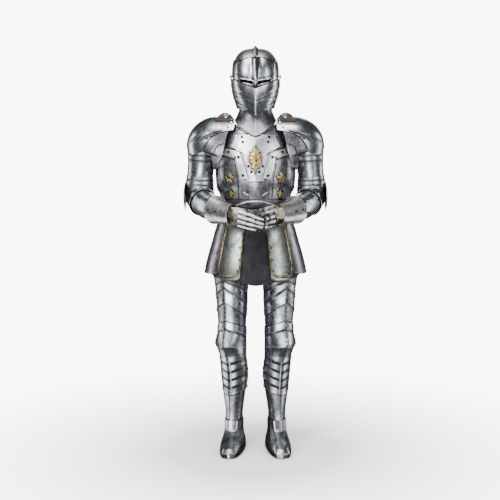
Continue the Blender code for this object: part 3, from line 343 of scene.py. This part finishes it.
def caged(node):
    """The CAD node's mesh, its split corners joined, its triangles paired and its sharp edges creased."""
    shape = bmesh.new()
    shape.from_mesh(NODES[node].data)
    bmesh.ops.remove_doubles(shape, verts=shape.verts, dist=MERGE_DISTANCE)
    bmesh.ops.join_triangles(
        shape, faces=shape.faces, angle_face_threshold=PAIRING_BEND, angle_shape_threshold=PAIRING_SKEW)
    crease = shape.edges.layers.float.new("crease_edge")
    for edge in shape.edges:
        bend = edge.calc_face_angle(math.pi)
        edge[crease] = 1.0 if bend > SHARP_ANGLE else 0.0
    cage = bpy.data.meshes.new(node)
    shape.to_mesh(cage)
    shape.free()
    return cage


def edge_points(node, cage):
    """Points along the sharp edges of one plate, as (outward rims and steps, inward corners)."""
    shape = bmesh.new()
    shape.from_mesh(cage)
    found = {True: [], False: []}
    for edge in shape.edges:
        if edge.calc_face_angle(math.pi) <= SHARP_ANGLE:
            continue
        first, last = (vertex.co for vertex in edge.verts)
        count = max(1, round((last - first).length / EDGE_SPACING))
        found[edge.is_convex] += [first.lerp(last, (i + 0.5) / count) for i in range(count)]
    shape.free()
    return found[True], found[False]


def tree_of(points):
    tree = KDTree(max(len(points), 1))
    for index, point in enumerate(points):
        tree.insert(point, index)
    tree.balance()
    return tree


def coordinates(mesh):
    flat = np.empty(len(mesh.vertices) * 3, np.float32)
    mesh.vertices.foreach_get("co", flat)
    return flat.reshape(-1, 3).astype(float)


def evaluated(piece):
    piece.data.update()
    graph = bpy.context.evaluated_depsgraph_get()
    return bpy.data.meshes.new_from_object(piece.evaluated_get(graph), depsgraph=graph)


# Nodes kept as they are, and nodes smoothed without being brought back on to the CAD's points.
KEPT_FLAT = ("elbow_fin", "pivot")
KEPT_SOFT = "sabaton"


def smooth_plate(node):
    """A smooth surface that passes through the points of the CAD node, keeping its rims and steps sharp."""
    piece = link("plate_" + node, caged(node))
    if node.startswith(KEPT_FLAT):
        return piece
    target = coordinates(piece.data)
    divide = piece.modifiers.new("smooth", "SUBSURF")
    divide.levels = divide.render_levels = 1
    divide.use_limit_surface = True
    cage = target.copy()
    for _ in range(0 if node.startswith(KEPT_SOFT) else FIT_ROUNDS):
        trial = evaluated(piece)
        cage += FIT_SHARE * (target - coordinates(trial)[:len(target)])
        bpy.data.meshes.remove(trial)
        piece.data.vertices.foreach_set("co", cage.astype(np.float32).ravel())
    divide.levels = divide.render_levels = SMOOTH_LEVEL
    finished = evaluated(piece)
    piece.modifiers.clear()
    piece.data = finished
    finished.name = piece.name
    finished.materials.clear()
    finished.shade_smooth()
    finished.set_sharp_from_angle(angle=SHARP_ANGLE)
    return piece


def wear(piece, finish):
    """Gives a piece its finish as its one material."""
    piece.data.materials.clear()
    piece.data.materials.append(FINISH[finish])
    return piece


def near(tree, point, reach):
    _, _, gap = tree.find(point)
    return max(0.0, 1.0 - gap / reach) if gap is not None else 0.0


def store_shade_and_sheen(piece, rims, corners, others):
    """Stores how much painted shade each point gets, in a corner or beside a plate on it, and how much
    painted highlight with rim wear, along a rim.
    """
    painted_shade, sheen_and_wear = [], []
    for vertex in piece.data.vertices:
        shade_amount = near(corners, vertex.co, SHADE_REACH)
        shine = near(rims, vertex.co, RIM_SHEEN_REACH)
        for place, _, gap in others.find_range(vertex.co, COVER_REACH):
            if (place - vertex.co).dot(vertex.normal) > LEVEL_WITH:
                shade_amount = max(shade_amount, 1.0 - gap / COVER_REACH)
        if shine > RIM_SHINE:
            shade_amount = 0.0
        painted_shade.append(shade_amount)
        sheen_and_wear.append(shine * (1.0 - shade_amount))
    for name, values in (("painted_shade", painted_shade), ("wear", sheen_and_wear)):
        layer = piece.data.attributes.new(name, "FLOAT", "POINT")
        layer.data.foreach_set("value", values)


# Plates of another steel than the rest: the lighter copy is a painted highlight, the rose copy a painted
# reflection and the darker sabaton copy painted shade; the others are tints of their own.
TINT_OF = {
    "bib_plate": "bright_steel",
    "chest_band": "bright_steel",
    "helmet_skull": "rose_reflection_steel",
    "tasset_front": "green_steel",
    "tasset_side": "violet_steel",
    "gauntlet_cuff": "warm_steel",
    "gauntlet": "brown_steel",
    "fauld": "dark_steel",
    "sabaton": "shaded_copy_steel",
}
# Plates that get no painted shade from their own inner corners, because shade along their ridges would read
# as dotted lines.
NO_CORNER_SHADE = (
    "helmet_skull", "visor", "ventail", "bevor",
    "greave_left", "greave_right", "sabaton_left", "sabaton_right",
)
SLOT_OF = {part["node"]: part["material_slot"] for part in frame["record"]["subparts"]}


def dress(node):
    piece = smooth_plate(node)
    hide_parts(node)
    tint = next((finish for start, finish in TINT_OF.items() if node.startswith(start)), SLOT_OF[node])
    wear(piece, tint)
    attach(piece, BODY_OF[node])
    return piece


PLATES = {node: dress(node) for node in sorted(NODES)}


def store_shade_and_sheen_all():
    edges = {node: edge_points(node, caged(node)) for node in PLATES}
    for node, piece in PLATES.items():
        low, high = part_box(node)
        margin = Vector((COVER_REACH,) * 3)
        corners = [] if node in NO_CORNER_SHADE else edges[node][1]
        others = [p for other, (rims, _) in edges.items() if other != node for p in rims
                  if all(l <= c <= h for l, c, h in zip(low - margin, p, high + margin))]
        store_shade_and_sheen(piece, tree_of(edges[node][0]), tree_of(corners), tree_of(others))


store_shade_and_sheen_all()


# Places on the suit, found by looking along the camera's lines


class Suit:
    """All the plates as one body to cast rays on."""

    def __init__(self, names):
        points, faces, self.owner = [], [], []
        for name in names:
            first = len(points)
            points += [vertex.co.copy() for vertex in PLATES[name].data.vertices]
            for face in PLATES[name].data.polygons:
                faces.append([first + corner for corner in face.vertices])
                self.owner.append(name)
        self.tree = BVHTree.FromPolygons(points, faces)

    def cast(self, start, direction):
        """The first spot a ray meets, as (place, outward normal, node), or None."""
        place, normal, index, _ = self.tree.ray_cast(start, direction)
        if place is None:
            return None
        if normal.dot(direction) > 0:
            normal = -normal
        return place, normal.normalized(), self.owner[index]

    def beside(self, place):
        """The nearest spot of the plates to a place, as (place, outward normal, node)."""
        spot, normal, index, _ = self.tree.find_nearest(place, HUG_REACH)
        if spot is None:
            return None
        return spot, normal.normalized(), self.owner[index]


SUIT = Suit(sorted(PLATES))
EYE = Vector((0.0, -CAMERA_DISTANCE, CAMERA_HEIGHT))
PIXEL_SLOPE = SENSOR_WIDTH / CAMERA_LENS / PHOTO_PIXELS


def line_of(column, row):
    """The direction from the camera through one spot of the 500-pixel photograph."""
    return unit(((column - CENTRE_COLUMN) * PIXEL_SLOPE, 1.0, (HORIZON_ROW - row) * PIXEL_SLOPE))


def seen(column, row, side="right"):
    """What is seen at a spot measured on the viewer's left half, or at its mirror image for the left side."""
    if side == "left":
        column = 2 * CENTRE_COLUMN - column
    return SUIT.cast(EYE, line_of(column, row))


class Batch:
    """Small pieces of one finish riding one body, gathered into one object."""

    made = {}

    def __init__(self, name, finish, body):
        self.name, self.finish, self.body = name, finish, body
        self.points, self.faces = [], []

    @classmethod
    def of(cls, name, finish, body):
        key = (name, finish, body)
        if key not in cls.made:
            cls.made[key] = cls(name if body == "suit" else f"{name}_{body}", finish, body)
        return cls.made[key]

    def add(self, points, faces, outward=None):
        """Adds one closed or open sheet; outward is the way its first face should look."""
        first = len(self.points)
        if outward is not None:
            a, b, c = (points[corner] for corner in faces[0][:3])
            if (b - a).cross(c - b).dot(outward) < 0:
                faces = [face[::-1] for face in faces]
        self.points += points
        self.faces += [tuple(first + corner for corner in face) for face in faces]

    @classmethod
    def close_all(cls):
        for batch in cls.made.values():
            piece = link(batch.name, mesh_of(batch.name, batch.points, batch.faces))
            piece.data.shade_smooth()
            piece.data.set_sharp_from_angle(angle=DETAIL_SHARP)
            wear(piece, batch.finish)
            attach(piece, batch.body)


def frame_at(normal):
    """Two directions across a normal, the first as near as can be to upright."""
    upright = Vector((0.0, 0.0, 1.0))
    first = upright - normal * upright.dot(normal)
    if first.length < 1e-3:
        first = Vector((1.0, 0.0, 0.0)) - normal * normal.x
    first.normalize()
    return first, normal.cross(first)


def ring_faces(rings, around):
    """The four-sided faces between rings of points, each ring closed on itself."""
    faces = []
    for ring in range(rings - 1):
        for i in range(around):
            j = (i + 1) % around
            below, above = ring * around, (ring + 1) * around
            faces.append((below + i, below + j, above + j, above + i))
    return faces


RIVET_SIDES = 12
# The section of a rivet's head, from its rim to its top: its share of the radius, and of the rise.
DOME = ((1.00, -0.25), (1.00, 0.10), (0.88, 0.50), (0.60, 0.84), (0.28, 1.00))


def rivet(spot, radius, finish, height, name):
    """A round-headed rivet standing on a plate."""
    if spot is None:
        return
    place, normal, node = spot
    across, up = frame_at(normal)
    points = []
    for reach, rise in DOME:
        for i in range(RIVET_SIDES):
            turn = math.tau * i / RIVET_SIDES
            offset = across * math.cos(turn) + up * math.sin(turn)
            points.append(place + offset * (radius * reach) + normal * (radius * height * rise))
    points.append(place + normal * (radius * height * 1.03))
    faces = ring_faces(len(DOME), RIVET_SIDES)
    last = (len(DOME) - 1) * RIVET_SIDES
    faces += [(last + i, last + (i + 1) % RIVET_SIDES, len(points) - 1) for i in range(RIVET_SIDES)]
    Batch.of(name, finish, BODY_OF[node]).add(points, faces)


def rivets(spots, radius, name, height):
    for side in SIDES:
        for column, row in spots:
            rivet(seen(column, row, side), radius, "dark_rivet", height, name)


def followed(path, side, step=PATH_STEP):
    """Spots on the suit every few millimetres along a path measured on the photograph."""
    spots = []
    for (x0, y0), (x1, y1) in zip(path, path[1:]):
        count = max(1, round(math.hypot(x1 - x0, y1 - y0) / step))
        for i in range(count):
            spots.append(seen(x0 + (x1 - x0) * i / count, y0 + (y1 - y0) * i / count, side))
    spots.append(seen(*path[-1], side))
    return [spot for spot in spots if spot]


# Sections of a strip from one edge to the other: the share of its half width, and of its rise.
ROUNDED = ((-1.0, -0.3), (-0.92, 0.62), (-0.55, 1.0), (0.0, 1.08), (0.55, 1.0), (0.92, 0.62), (1.0, -0.3))
FLAT = ((-1.0, -0.3), (-0.96, 0.80), (-0.80, 1.0), (0.0, 1.0), (0.80, 1.0), (0.96, 0.80), (1.0, -0.3))


def rounded_corners(places):
    for _ in range(2):
        middle = [a * 0.25 + b * 0.5 + c * 0.25 for a, b, c in zip(places, places[1:], places[2:])]
        places = [places[0], *middle, places[-1]]
    return places


def strip(spots, width, rise, finish, name, profile=FLAT, closed=False, hug=False):
    """A narrow band laid along a row of spots; with hug, its section follows the plate below it."""
    if len(spots) < 3:
        return
    body = BODY_OF[spots[len(spots) // 2][2]]
    places = rounded_corners([spot[0] for spot in spots])
    count = len(places)
    normals = []
    for i in range(count):
        around = spots[max(0, i - EVENED):i + EVENED + 1]
        normals.append(sum((spot[1] for spot in around), Vector()).normalized())
    points, faces = [], []
    for i, (place, normal) in enumerate(zip(places, normals)):
        ahead = places[(i + 1) % count] if closed else places[min(i + 1, count - 1)]
        behind = places[i - 1] if closed or i else places[0]
        across = unit((ahead - behind).cross(normal))
        for reach, lift in profile:
            spot = place + across * (width / 2 * reach)
            under = SUIT.beside(spot) if hug else None
            if under:
                spot = under[0]
            points.append(spot + normal * (rise * lift))
    wide = len(profile)
    rows = count if closed else count - 1
    for i in range(rows):
        j = (i + 1) % count
        for k in range(wide - 1):
            faces.append((i * wide + k, i * wide + k + 1, j * wide + k + 1, j * wide + k))
    if not closed:
        faces.append(tuple(range(wide - 1, -1, -1)))
        faces.append(tuple((count - 1) * wide + k for k in range(wide)))
    Batch.of(name, finish, body).add(points, faces)


def band(path, width, rise, finish, name, sides=tuple(SIDES), **shape):
    """A strip along a path measured on the photograph, on both sides of the suit unless only one is named."""
    for side in sides:
        strip(followed(path, side), width, rise, finish, name, **shape)


# The rings of a panel from its rim inward: their share of its size, and of its rise.
RINGS = (
    (1.00, -0.4), (0.985, 0.75), (0.955, 1.0), (0.85, 1.0),
    (0.68, 1.0), (0.50, 1.0), (0.33, 1.0), (0.16, 1.0),
)


def panel(outline, rise, finish, name):
    """A thin plate laid on the suit inside an outline measured on the photograph."""
    middle = tuple(sum(v) / len(outline) for v in zip(*outline))
    rim = []
    for (x0, y0), (x1, y1) in zip(outline, [*outline[1:], outline[0]]):
        count = max(1, round(math.hypot(x1 - x0, y1 - y0) / PATH_STEP))
        rim += [(x0 + (x1 - x0) * i / count, y0 + (y1 - y0) * i / count) for i in range(count)]
    for side in SIDES:
        points, node = [], None
        for share, lift in RINGS:
            for x, y in rim:
                spot = seen(middle[0] + (x - middle[0]) * share, middle[1] + (y - middle[1]) * share, side)
                if spot is None:
                    return
                node = node or spot[2]
                points.append(spot[0] + spot[1] * (rise * lift))
        spot = seen(*middle, side)
        outward = spot[1]
        points.append(spot[0] + outward * rise)
        around = len(rim)
        faces = ring_faces(len(RINGS), around)
        last = (len(RINGS) - 1) * around
        faces += [(last + i, last + (i + 1) % around, len(points) - 1) for i in range(around)]
        faces.reverse()
        Batch.of(name, finish, BODY_OF[node]).add(points, faces, outward)


# Helmet


def helmet_details():
    # The brow lines are painted shade along the seams; the sight border is in the lighter steel, a painted
    # highlight.
    brow_seam = ((233.6, 64.6), (237.5, 62.9), (242.2, 60.9), (248.5, 58.9), (253.4, 58.1))
    band(brow_seam, 0.0056, 0.0012, "seam", "brow_seam")
    brow_line = ((236.4, 73.9), (240.1, 76.3), (247.4, 78.3), (253.6, 79.2))
    band(brow_line, 0.0040, 0.0004, "seam", "brow_line")
    upper = ((240.0, 78.9), (247.0, 80.2), (253.9, 81.7), (254.3, 83.2))
    lower = ((240.0, 79.6), (241.0, 83.0), (247.5, 84.8), (253.2, 86.0), (254.4, 84.2))
    band(upper, 0.0036, 0.0016, "bright_steel", "sight_border", profile=ROUNDED)
    band(lower, 0.0036, 0.0014, "bright_steel", "sight_border", profile=ROUNDED)


def comb_details():
    """The high comb: a painted highlight on its lit side and painted shade on its other side, on the skull
    and on the visor below it.
    """
    for rows in ((49.0, 53.0, 56.6), (60.0, 69.0, 78.6)):
        for column, finish in ((254.3, "bright_steel"), (257.0, "seam")):
            path = tuple((column, row) for row in rows)
            band(path, 0.0090, 0.0030, finish, "comb_" + finish, sides=("right",), profile=ROUNDED)


def face_details():
    # Frames and ribs are in the lighter steel, a painted highlight; the frame lines are painted shade, and
    # the breaths and slots are dark discs and strips of painted shade.
    inner_frame = ((236.2, 85.6), (237.2, 90.4), (241.6, 92.3))
    band(inner_frame, 0.0048, 0.0016, "bright_steel", "ventail_frames", profile=ROUNDED)
    frame_line = ((238.6, 86.6), (239.4, 89.0), (243.4, 90.8))
    band(frame_line, 0.0034, 0.0006, "seam", "ventail_lines")
    for column, row in ((244.6, 93.6), (248.7, 94.5)):
        for side in SIDES:
            rivet(seen(column, row, side), 0.0040, "dark_gap", 0.10, "breaths")
    for side in SIDES:
        rivet(seen(251.1, 103.4, side), 0.0048, "dark_gap", 0.10, "breaths")
    for path in (
        ((236.0, 98.6), (240.2, 101.6), (244.6, 103.4)),
        ((238.0, 104.6), (242.4, 107.6), (247.4, 109.6)),
    ):
        band(path, 0.0058, 0.0018, "bright_steel", "bevor_ribs", profile=ROUNDED)
    for path in (
        ((236.6, 101.8), (240.4, 104.2), (244.4, 106.0)),
        ((235.6, 95.6), (239.6, 97.8), (243.2, 99.2)),
    ):
        band(path, 0.0044, 0.0005, "dark_gap", "bevor_slots")


# Breast, shoulders and gorget


def chest_details():
    rivets(((241.9, 137.0), (242.9, 142.0), (248.4, 166.1), (251.6, 171.7)), 0.0066, "bib_rivets", 0.34)
    rivets(((228.7, 152.0), (238.6, 157.0), (242.9, 175.4)), 0.0068, "band_rivets", 0.34)
    # The band and flute lines are painted shade; the abdomen bars and the waist roll are in the lighter
    # steel, a painted highlight.
    for line in (
        ((224.4, 156.8), (231.0, 158.6), (235.2, 159.8)),
        ((225.2, 147.0), (233.4, 149.6), (241.8, 152.2), (244.8, 155.8)),
    ):
        band(line, 0.0044, 0.0006, "seam", "band_lines")
    rivets(((228.2, 127.2), (207.4, 138.8)), 0.0052, "pauldron_rivets", 0.38)
    band(((224.9, 159.0), (224.9, 178.8)), 0.0046, 0.0004, "seam", "flute_lines")
    band(((234.8, 163.2), (237.8, 179.4), (239.2, 197.5)), 0.0040, 0.0004, "seam", "flute_lines")
    abdomen = ((241.0, 182.0), (248.6, 182.5), (249.4, 198.0), (242.2, 198.4))
    panel(abdomen, 0.0012, "dark_steel", "abdomen_plates")
    band(((243.0, 191.6), (248.4, 195.0)), 0.0050, 0.0018, "bright_steel", "abdomen_bars", profile=ROUNDED)
    waist = ((236.9, 205.0), (241.0, 203.2), (246.0, 201.8), (250.6, 201.2), (255.5, 201.0))
    band(waist, 0.0062, 0.0026, "bright_steel", "waist_roll", profile=ROUNDED)


def gorget_details():
    # Keel and rim are in the lighter steel, a painted highlight; the line just below the rim is the rim's
    # painted shadow.
    keel = ((255.5, 119.0), (255.5, 130.4))
    band(keel, 0.0030, 0.0010, "bright_steel", "gorget_keel", sides=("right",), profile=ROUNDED)
    edge = ((231.8, 119.5), (235.2, 124.4), (240.4, 128.8), (247.0, 132.4), (252.0, 134.6), (255.4, 135.3))
    band(edge, 0.0040, 0.0014, "bright_steel", "gorget_rim", profile=ROUNDED)
    under = tuple((column, row + 1.4) for column, row in edge)
    band(under, 0.0050, 0.0006, "seam", "gorget_line")


def shoulder_details():
    # The armpit seam line is painted shade; the armpit rim, in the lighter steel, a painted highlight.
    under_seam = ((224.6, 143.6), (219.2, 144.8), (216.2, 147.6), (214.2, 153.2))
    band(under_seam, 0.0048, 0.0004, "seam", "armpit_seam")
    rim = ((223.4, 146.5), (221.4, 156.0), (217.2, 166.6))
    band(rim, 0.0034, 0.0010, "bright_steel", "armpit_rim", profile=ROUNDED)


# How the shoulder straps arch, seen from the front: distance from the suit's middle, and height.
STRAP_ARCH = ((0.170, 1.503), (0.160, 1.519), (0.145, 1.530), (0.130, 1.531), (0.115, 1.520), (0.106, 1.500))


def shoulder_straps():
    """A buckled leather strap arching from each pauldron to the gorget, and one under each armpit."""
    leaning = unit((0.0, -0.8, 0.6))
    for side, sign in SIDES.items():
        node = "pauldron_strap_" + side
        spots = [(Vector((sign * x, 0.030, z)), leaning, node) for x, z in STRAP_ARCH]
        strip(spots, 0.024, 0.004, "leather", "shoulder_straps")
        buckle((Vector((sign * 0.132, 0.028, 1.524)), leaning, node), 0.020, 0.017)
    under_arm = ((207.0, 166.0), (213.2, 168.4), (212.8, 173.2), (206.6, 170.6))
    panel(under_arm, 0.0022, "leather", "armpit_straps")


# Arms and hands


def forearm_details():
    for side in SIDES:
        for column, row in ((205.3, 202.2), (208.0, 209.2), (215.0, 210.9)):
            rivet(seen(column, row, side), 0.0048, "dark_rivet", 0.40, "forearm_rivets")
    # The bands are in the lighter steel, a painted highlight; the lines just below them are painted shade.
    edge = ((195.4, 201.6), (201.5, 198.4), (209.0, 195.6), (217.0, 193.4))
    band(edge, 0.0046, 0.0012, "bright_steel", "forearm_bands", profile=ROUNDED)
    line = ((197.6, 205.2), (203.4, 201.6), (210.4, 198.6), (217.2, 196.4))
    band(line, 0.0034, 0.0004, "seam", "forearm_lines")
    cuff = ((233.4, 205.8), (233.2, 212.0), (233.0, 219.0), (233.2, 225.0))
    band(cuff, 0.0105, 0.0012, "olive_gilt", "cuff_gilding", hug=True)


FINGERS_RIGHT = (
    ((238.8, 211.2), (247.0, 213.6), (255.4, 216.4), (263.4, 219.4)),
    ((238.2, 216.0), (247.0, 218.4), (255.4, 221.0), (263.6, 223.8)),
    ((237.6, 220.8), (247.0, 223.2), (255.4, 225.2), (262.8, 227.2)),
    ((237.6, 224.8), (244.0, 226.6), (250.0, 228.2), (256.0, 229.6)),
)
FINGERS_LEFT = (
    ((272.7, 210.6), (266.5, 212.4), (260.6, 214.8)),
    ((274.4, 216.0), (269.6, 217.4), (265.2, 219.0)),
    ((275.2, 220.6), (270.0, 222.0), (265.4, 223.4)),
    ((275.2, 224.8), (270.0, 226.0), (265.0, 227.2)),
)


FINGER_STEP = 0.7
FINGER_LAMES = ((0.0, 0.335), (0.35, 0.665), (0.68, 1.0))


def finger_details():
    """Three lames along each finger, in the lighter steel whose brightness is a painted highlight. The
    clasped hands aren't mirror images, so neither are these.
    """
    for path in FINGERS_RIGHT + FINGERS_LEFT:
        spots = followed(path, "right", FINGER_STEP)
        last = len(spots) - 1
        for begin, end in FINGER_LAMES:
            part = spots[round(begin * last):round(end * last) + 1]
            strip(part, 0.0135, 0.0062, "bright_steel", "finger_lames", profile=ROUNDED)


# Fauld and tassets


def tasset_details():
    seam = ((226.6, 228.0), (224.2, 238.0), (221.4, 252.0), (219.4, 265.0), (218.9, 275.0))
    band(seam, 0.0052, 0.0012, "gilt", "tasset_seam_gilding", hug=True)
    rim = (
        (243.6, 232.0), (242.2, 248.0), (240.3, 266.0), (238.6, 273.6),
        (233.4, 276.4), (225.0, 276.2), (220.6, 274.8),
    )
    band(rim, 0.0120, 0.0024, "olive_gilt", "tasset_rims", profile=ROUNDED, hug=True)
    rivets(((239.8, 247.4), (239.2, 259.4), (237.6, 271.0), (222.0, 273.4)), 0.0048, "tasset_rivets", 0.40)


# Legs and feet


def leg_details():
    rivets(((241.0, 284.0), (240.3, 292.4), (239.3, 303.4), (237.7, 317.2)), 0.0052, "cuisse_rivets", 0.38)
    # The shin and knee ridges are in the lighter steel, a painted highlight.
    shin = ((229.4, 362.0), (230.6, 373.0), (231.2, 384.0), (231.6, 396.0))
    band(shin, 0.0048, 0.0022, "bright_steel", "leg_ridges", profile=ROUNDED)
    knee = ((216.4, 346.6), (225.0, 347.0), (235.0, 347.0), (246.0, 346.6))
    band(knee, 0.0042, 0.0014, "bright_steel", "poleyn_ridges", profile=ROUNDED)
    for outline in (
        ((244.2, 283.0), (247.6, 289.0), (248.4, 296.0), (243.4, 297.0)),
        ((243.2, 302.4), (247.8, 304.0), (246.8, 315.0), (241.6, 312.0)),
        ((241.6, 318.0), (246.6, 320.0), (246.2, 328.0), (240.8, 326.8)),
    ):
        panel(outline, 0.0010, "brown_steel", "inner_thigh_plates")


def shin_straps():
    tilt = 2.2
    for top, low in ((367.2, 371.6), (374.6, 379.0), (382.8, 386.8)):
        outline = ((244.4, top + tilt), (248.8, top), (249.2, low), (245.0, low + tilt))
        panel(outline, 0.0022, "leather", "shin_straps")
        for side in SIDES:
            buckle(seen(247.0, (top + low + tilt) / 2, side), 0.0105, 0.0090)


def buckle(spot, long, high, name="buckles"):
    """A rectangular frame with its tongue, standing on a strap."""
    if spot is None:
        return
    place, normal, node = spot
    up, across = frame_at(normal)
    place = place + normal * 0.0022
    corners = [(-1, -1), (1, -1), (1, 1), (-1, 1)]
    spots = []
    for (u0, v0), (u1, v1) in zip(corners, corners[1:] + corners[:1]):
        for i in range(4):
            u, v = u0 + (u1 - u0) * i / 4, v0 + (v1 - v0) * i / 4
            spots.append((place + across * (u * long / 2) + up * (v * high / 2), normal, node))
    # Frame and tongue are in the lighter steel, a painted highlight.
    strip(spots, 0.0022, 0.0018, "bright_steel", name, profile=ROUNDED, closed=True)
    tongue = [(place + across * (long * (i / 4 - 0.5)) + normal * 0.0008, normal, node) for i in range(5)]
    strip(tongue, 0.0014, 0.0014, "bright_steel", name, profile=ROUNDED)


def foot_details():
    """The pivot at each ankle."""
    for side in SIDES:
        rivet(seen(223.2, 427.2, side), 0.0062, "steel", 0.6, "ankle_pivots")


helmet_details()
comb_details()
face_details()
chest_details()
gorget_details()
shoulder_details()
shoulder_straps()
forearm_details()
finger_details()
tasset_details()
leg_details()
shin_straps()
foot_details()
Batch.close_all()


# Stage


def floor():
    """A pale floor that fades out into the white studio, so that there is no horizon."""
    half = 6.0
    points = [(-half, -half, 0), (half, -half, 0), (half, half, 0), (-half, half, 0)]
    ground = link("floor", mesh_of("floor", points, [(0, 1, 2, 3)]))
    g = Graph("floor")
    cloud = g.noise(3.0, 2.0)
    pale = g.ramp(cloud, (0.3, 0.86), (0.7, 0.90))
    ground.data.materials.append(g.finish(pale, None, None, Roughness=0.85))
    reach = g.node("ShaderNodeVectorMath", {0: g.place}, operation="LENGTH").outputs["Value"]
    g.join(g.ramp(g.math("DIVIDE", reach, half), (0.06, 1.0), (0.30, 0.0)), g.shader.inputs["Alpha"])
    ground.visible_glossy = False


def softbox(name, place, aim, size, watts):
    light = bpy.data.lights.new(name, "AREA")
    light.shape = "RECTANGLE"
    light.size, light.size_y = size
    light.energy = watts
    lamp = bpy.data.objects.new(name, light)
    lamp.location = place
    lamp.rotation_euler = unit(Vector(aim) - Vector(place)).to_track_quat("-Z", "Y").to_euler()
    bpy.context.scene.collection.objects.link(lamp)
    return lamp


STRIP_HEIGHT = 0.02
STRIP_WATTS = 11
WHITE_SEEN = 9.0
WHITE_LIGHTING = 0.12


def studio():
    chest = (0.0, 0.0, 1.15)
    softbox("key", (-1.9, -3.0, 3.0), chest, (1.0, 2.2), 120)
    softbox("fill", (2.3, -2.8, 1.9), chest, (0.7, 2.4), 50)
    softbox("front", (-0.3, -4.6, 1.0), chest, (0.5, 2.6), 48)
    softbox("low", (-0.5, -3.6, 0.30), (0.0, 0.0, 0.9), (2.0, 0.45), 46)
    softbox("top", (-0.3, -0.9, 3.7), (0.0, 0.0, 1.5), (1.8, 1.6), 75)
    softbox("left_edge", (-3.0, 0.9, 1.5), chest, (0.4, 2.8), 34)
    softbox("right_edge", (3.0, 0.9, 1.5), chest, (0.4, 2.8), 34)
    softbox("back", (0.4, 3.4, 2.4), chest, (1.6, 2.4), 70)
    for name, x, y, size in (
        ("floor_front", -0.25, -1.40, (0.42, 1.7)),
        ("floor_back", 0.25, 1.50, (0.50, 1.7)),
        ("floor_right", -1.50, 0.20, (1.7, 0.50)),
        ("floor_left", 1.50, -0.10, (1.7, 0.50)),
    ):
        softbox(name, (x, y, STRIP_HEIGHT), (x, y, 1.0), size, STRIP_WATTS).visible_camera = False
    world = bpy.data.worlds.new("studio")
    bpy.context.scene.world = world
    world.use_nodes = True
    tree = world.node_tree
    dark_room = tree.nodes["Background"]
    dark_room.inputs["Color"].default_value = (0.030, 0.032, 0.040, 1.0)
    white = tree.nodes.new("ShaderNodeBackground")
    white.inputs["Color"].default_value = (1.0, 1.0, 1.0, 1.0)
    white.inputs["Strength"].default_value = WHITE_SEEN
    path = tree.nodes.new("ShaderNodeLightPath")
    seen_or_lit = tree.nodes.new("ShaderNodeMath")
    seen_or_lit.operation = "MULTIPLY_ADD"
    seen_or_lit.inputs[1].default_value = WHITE_LIGHTING
    tree.links.new(path.outputs["Is Diffuse Ray"], seen_or_lit.inputs[0])
    tree.links.new(path.outputs["Is Camera Ray"], seen_or_lit.inputs[2])
    both = tree.nodes.new("ShaderNodeMixShader")
    tree.links.new(seen_or_lit.outputs[0], both.inputs[0])
    tree.links.new(dark_room.outputs[0], both.inputs[1])
    tree.links.new(white.outputs[0], both.inputs[2])
    tree.links.new(both.outputs[0], tree.nodes["World Output"].inputs["Surface"])


def camera():
    data = bpy.data.cameras.new("camera")
    data.lens = TILTED_LENS
    data.shift_x = (PHOTO_PIXELS / 2 - CENTRE_COLUMN) / PHOTO_PIXELS
    data.shift_y = (AXIS_ROW - PHOTO_PIXELS / 2) / PHOTO_PIXELS
    eye = bpy.data.objects.new("camera", data)
    eye.location = (0.0, -CAMERA_DISTANCE, CAMERA_HEIGHT)
    eye.rotation_euler = (math.pi / 2 - CAMERA_TILT, 0, 0)
    bpy.context.scene.collection.objects.link(eye)
    bpy.context.scene.camera = eye


floor()
studio()
camera()
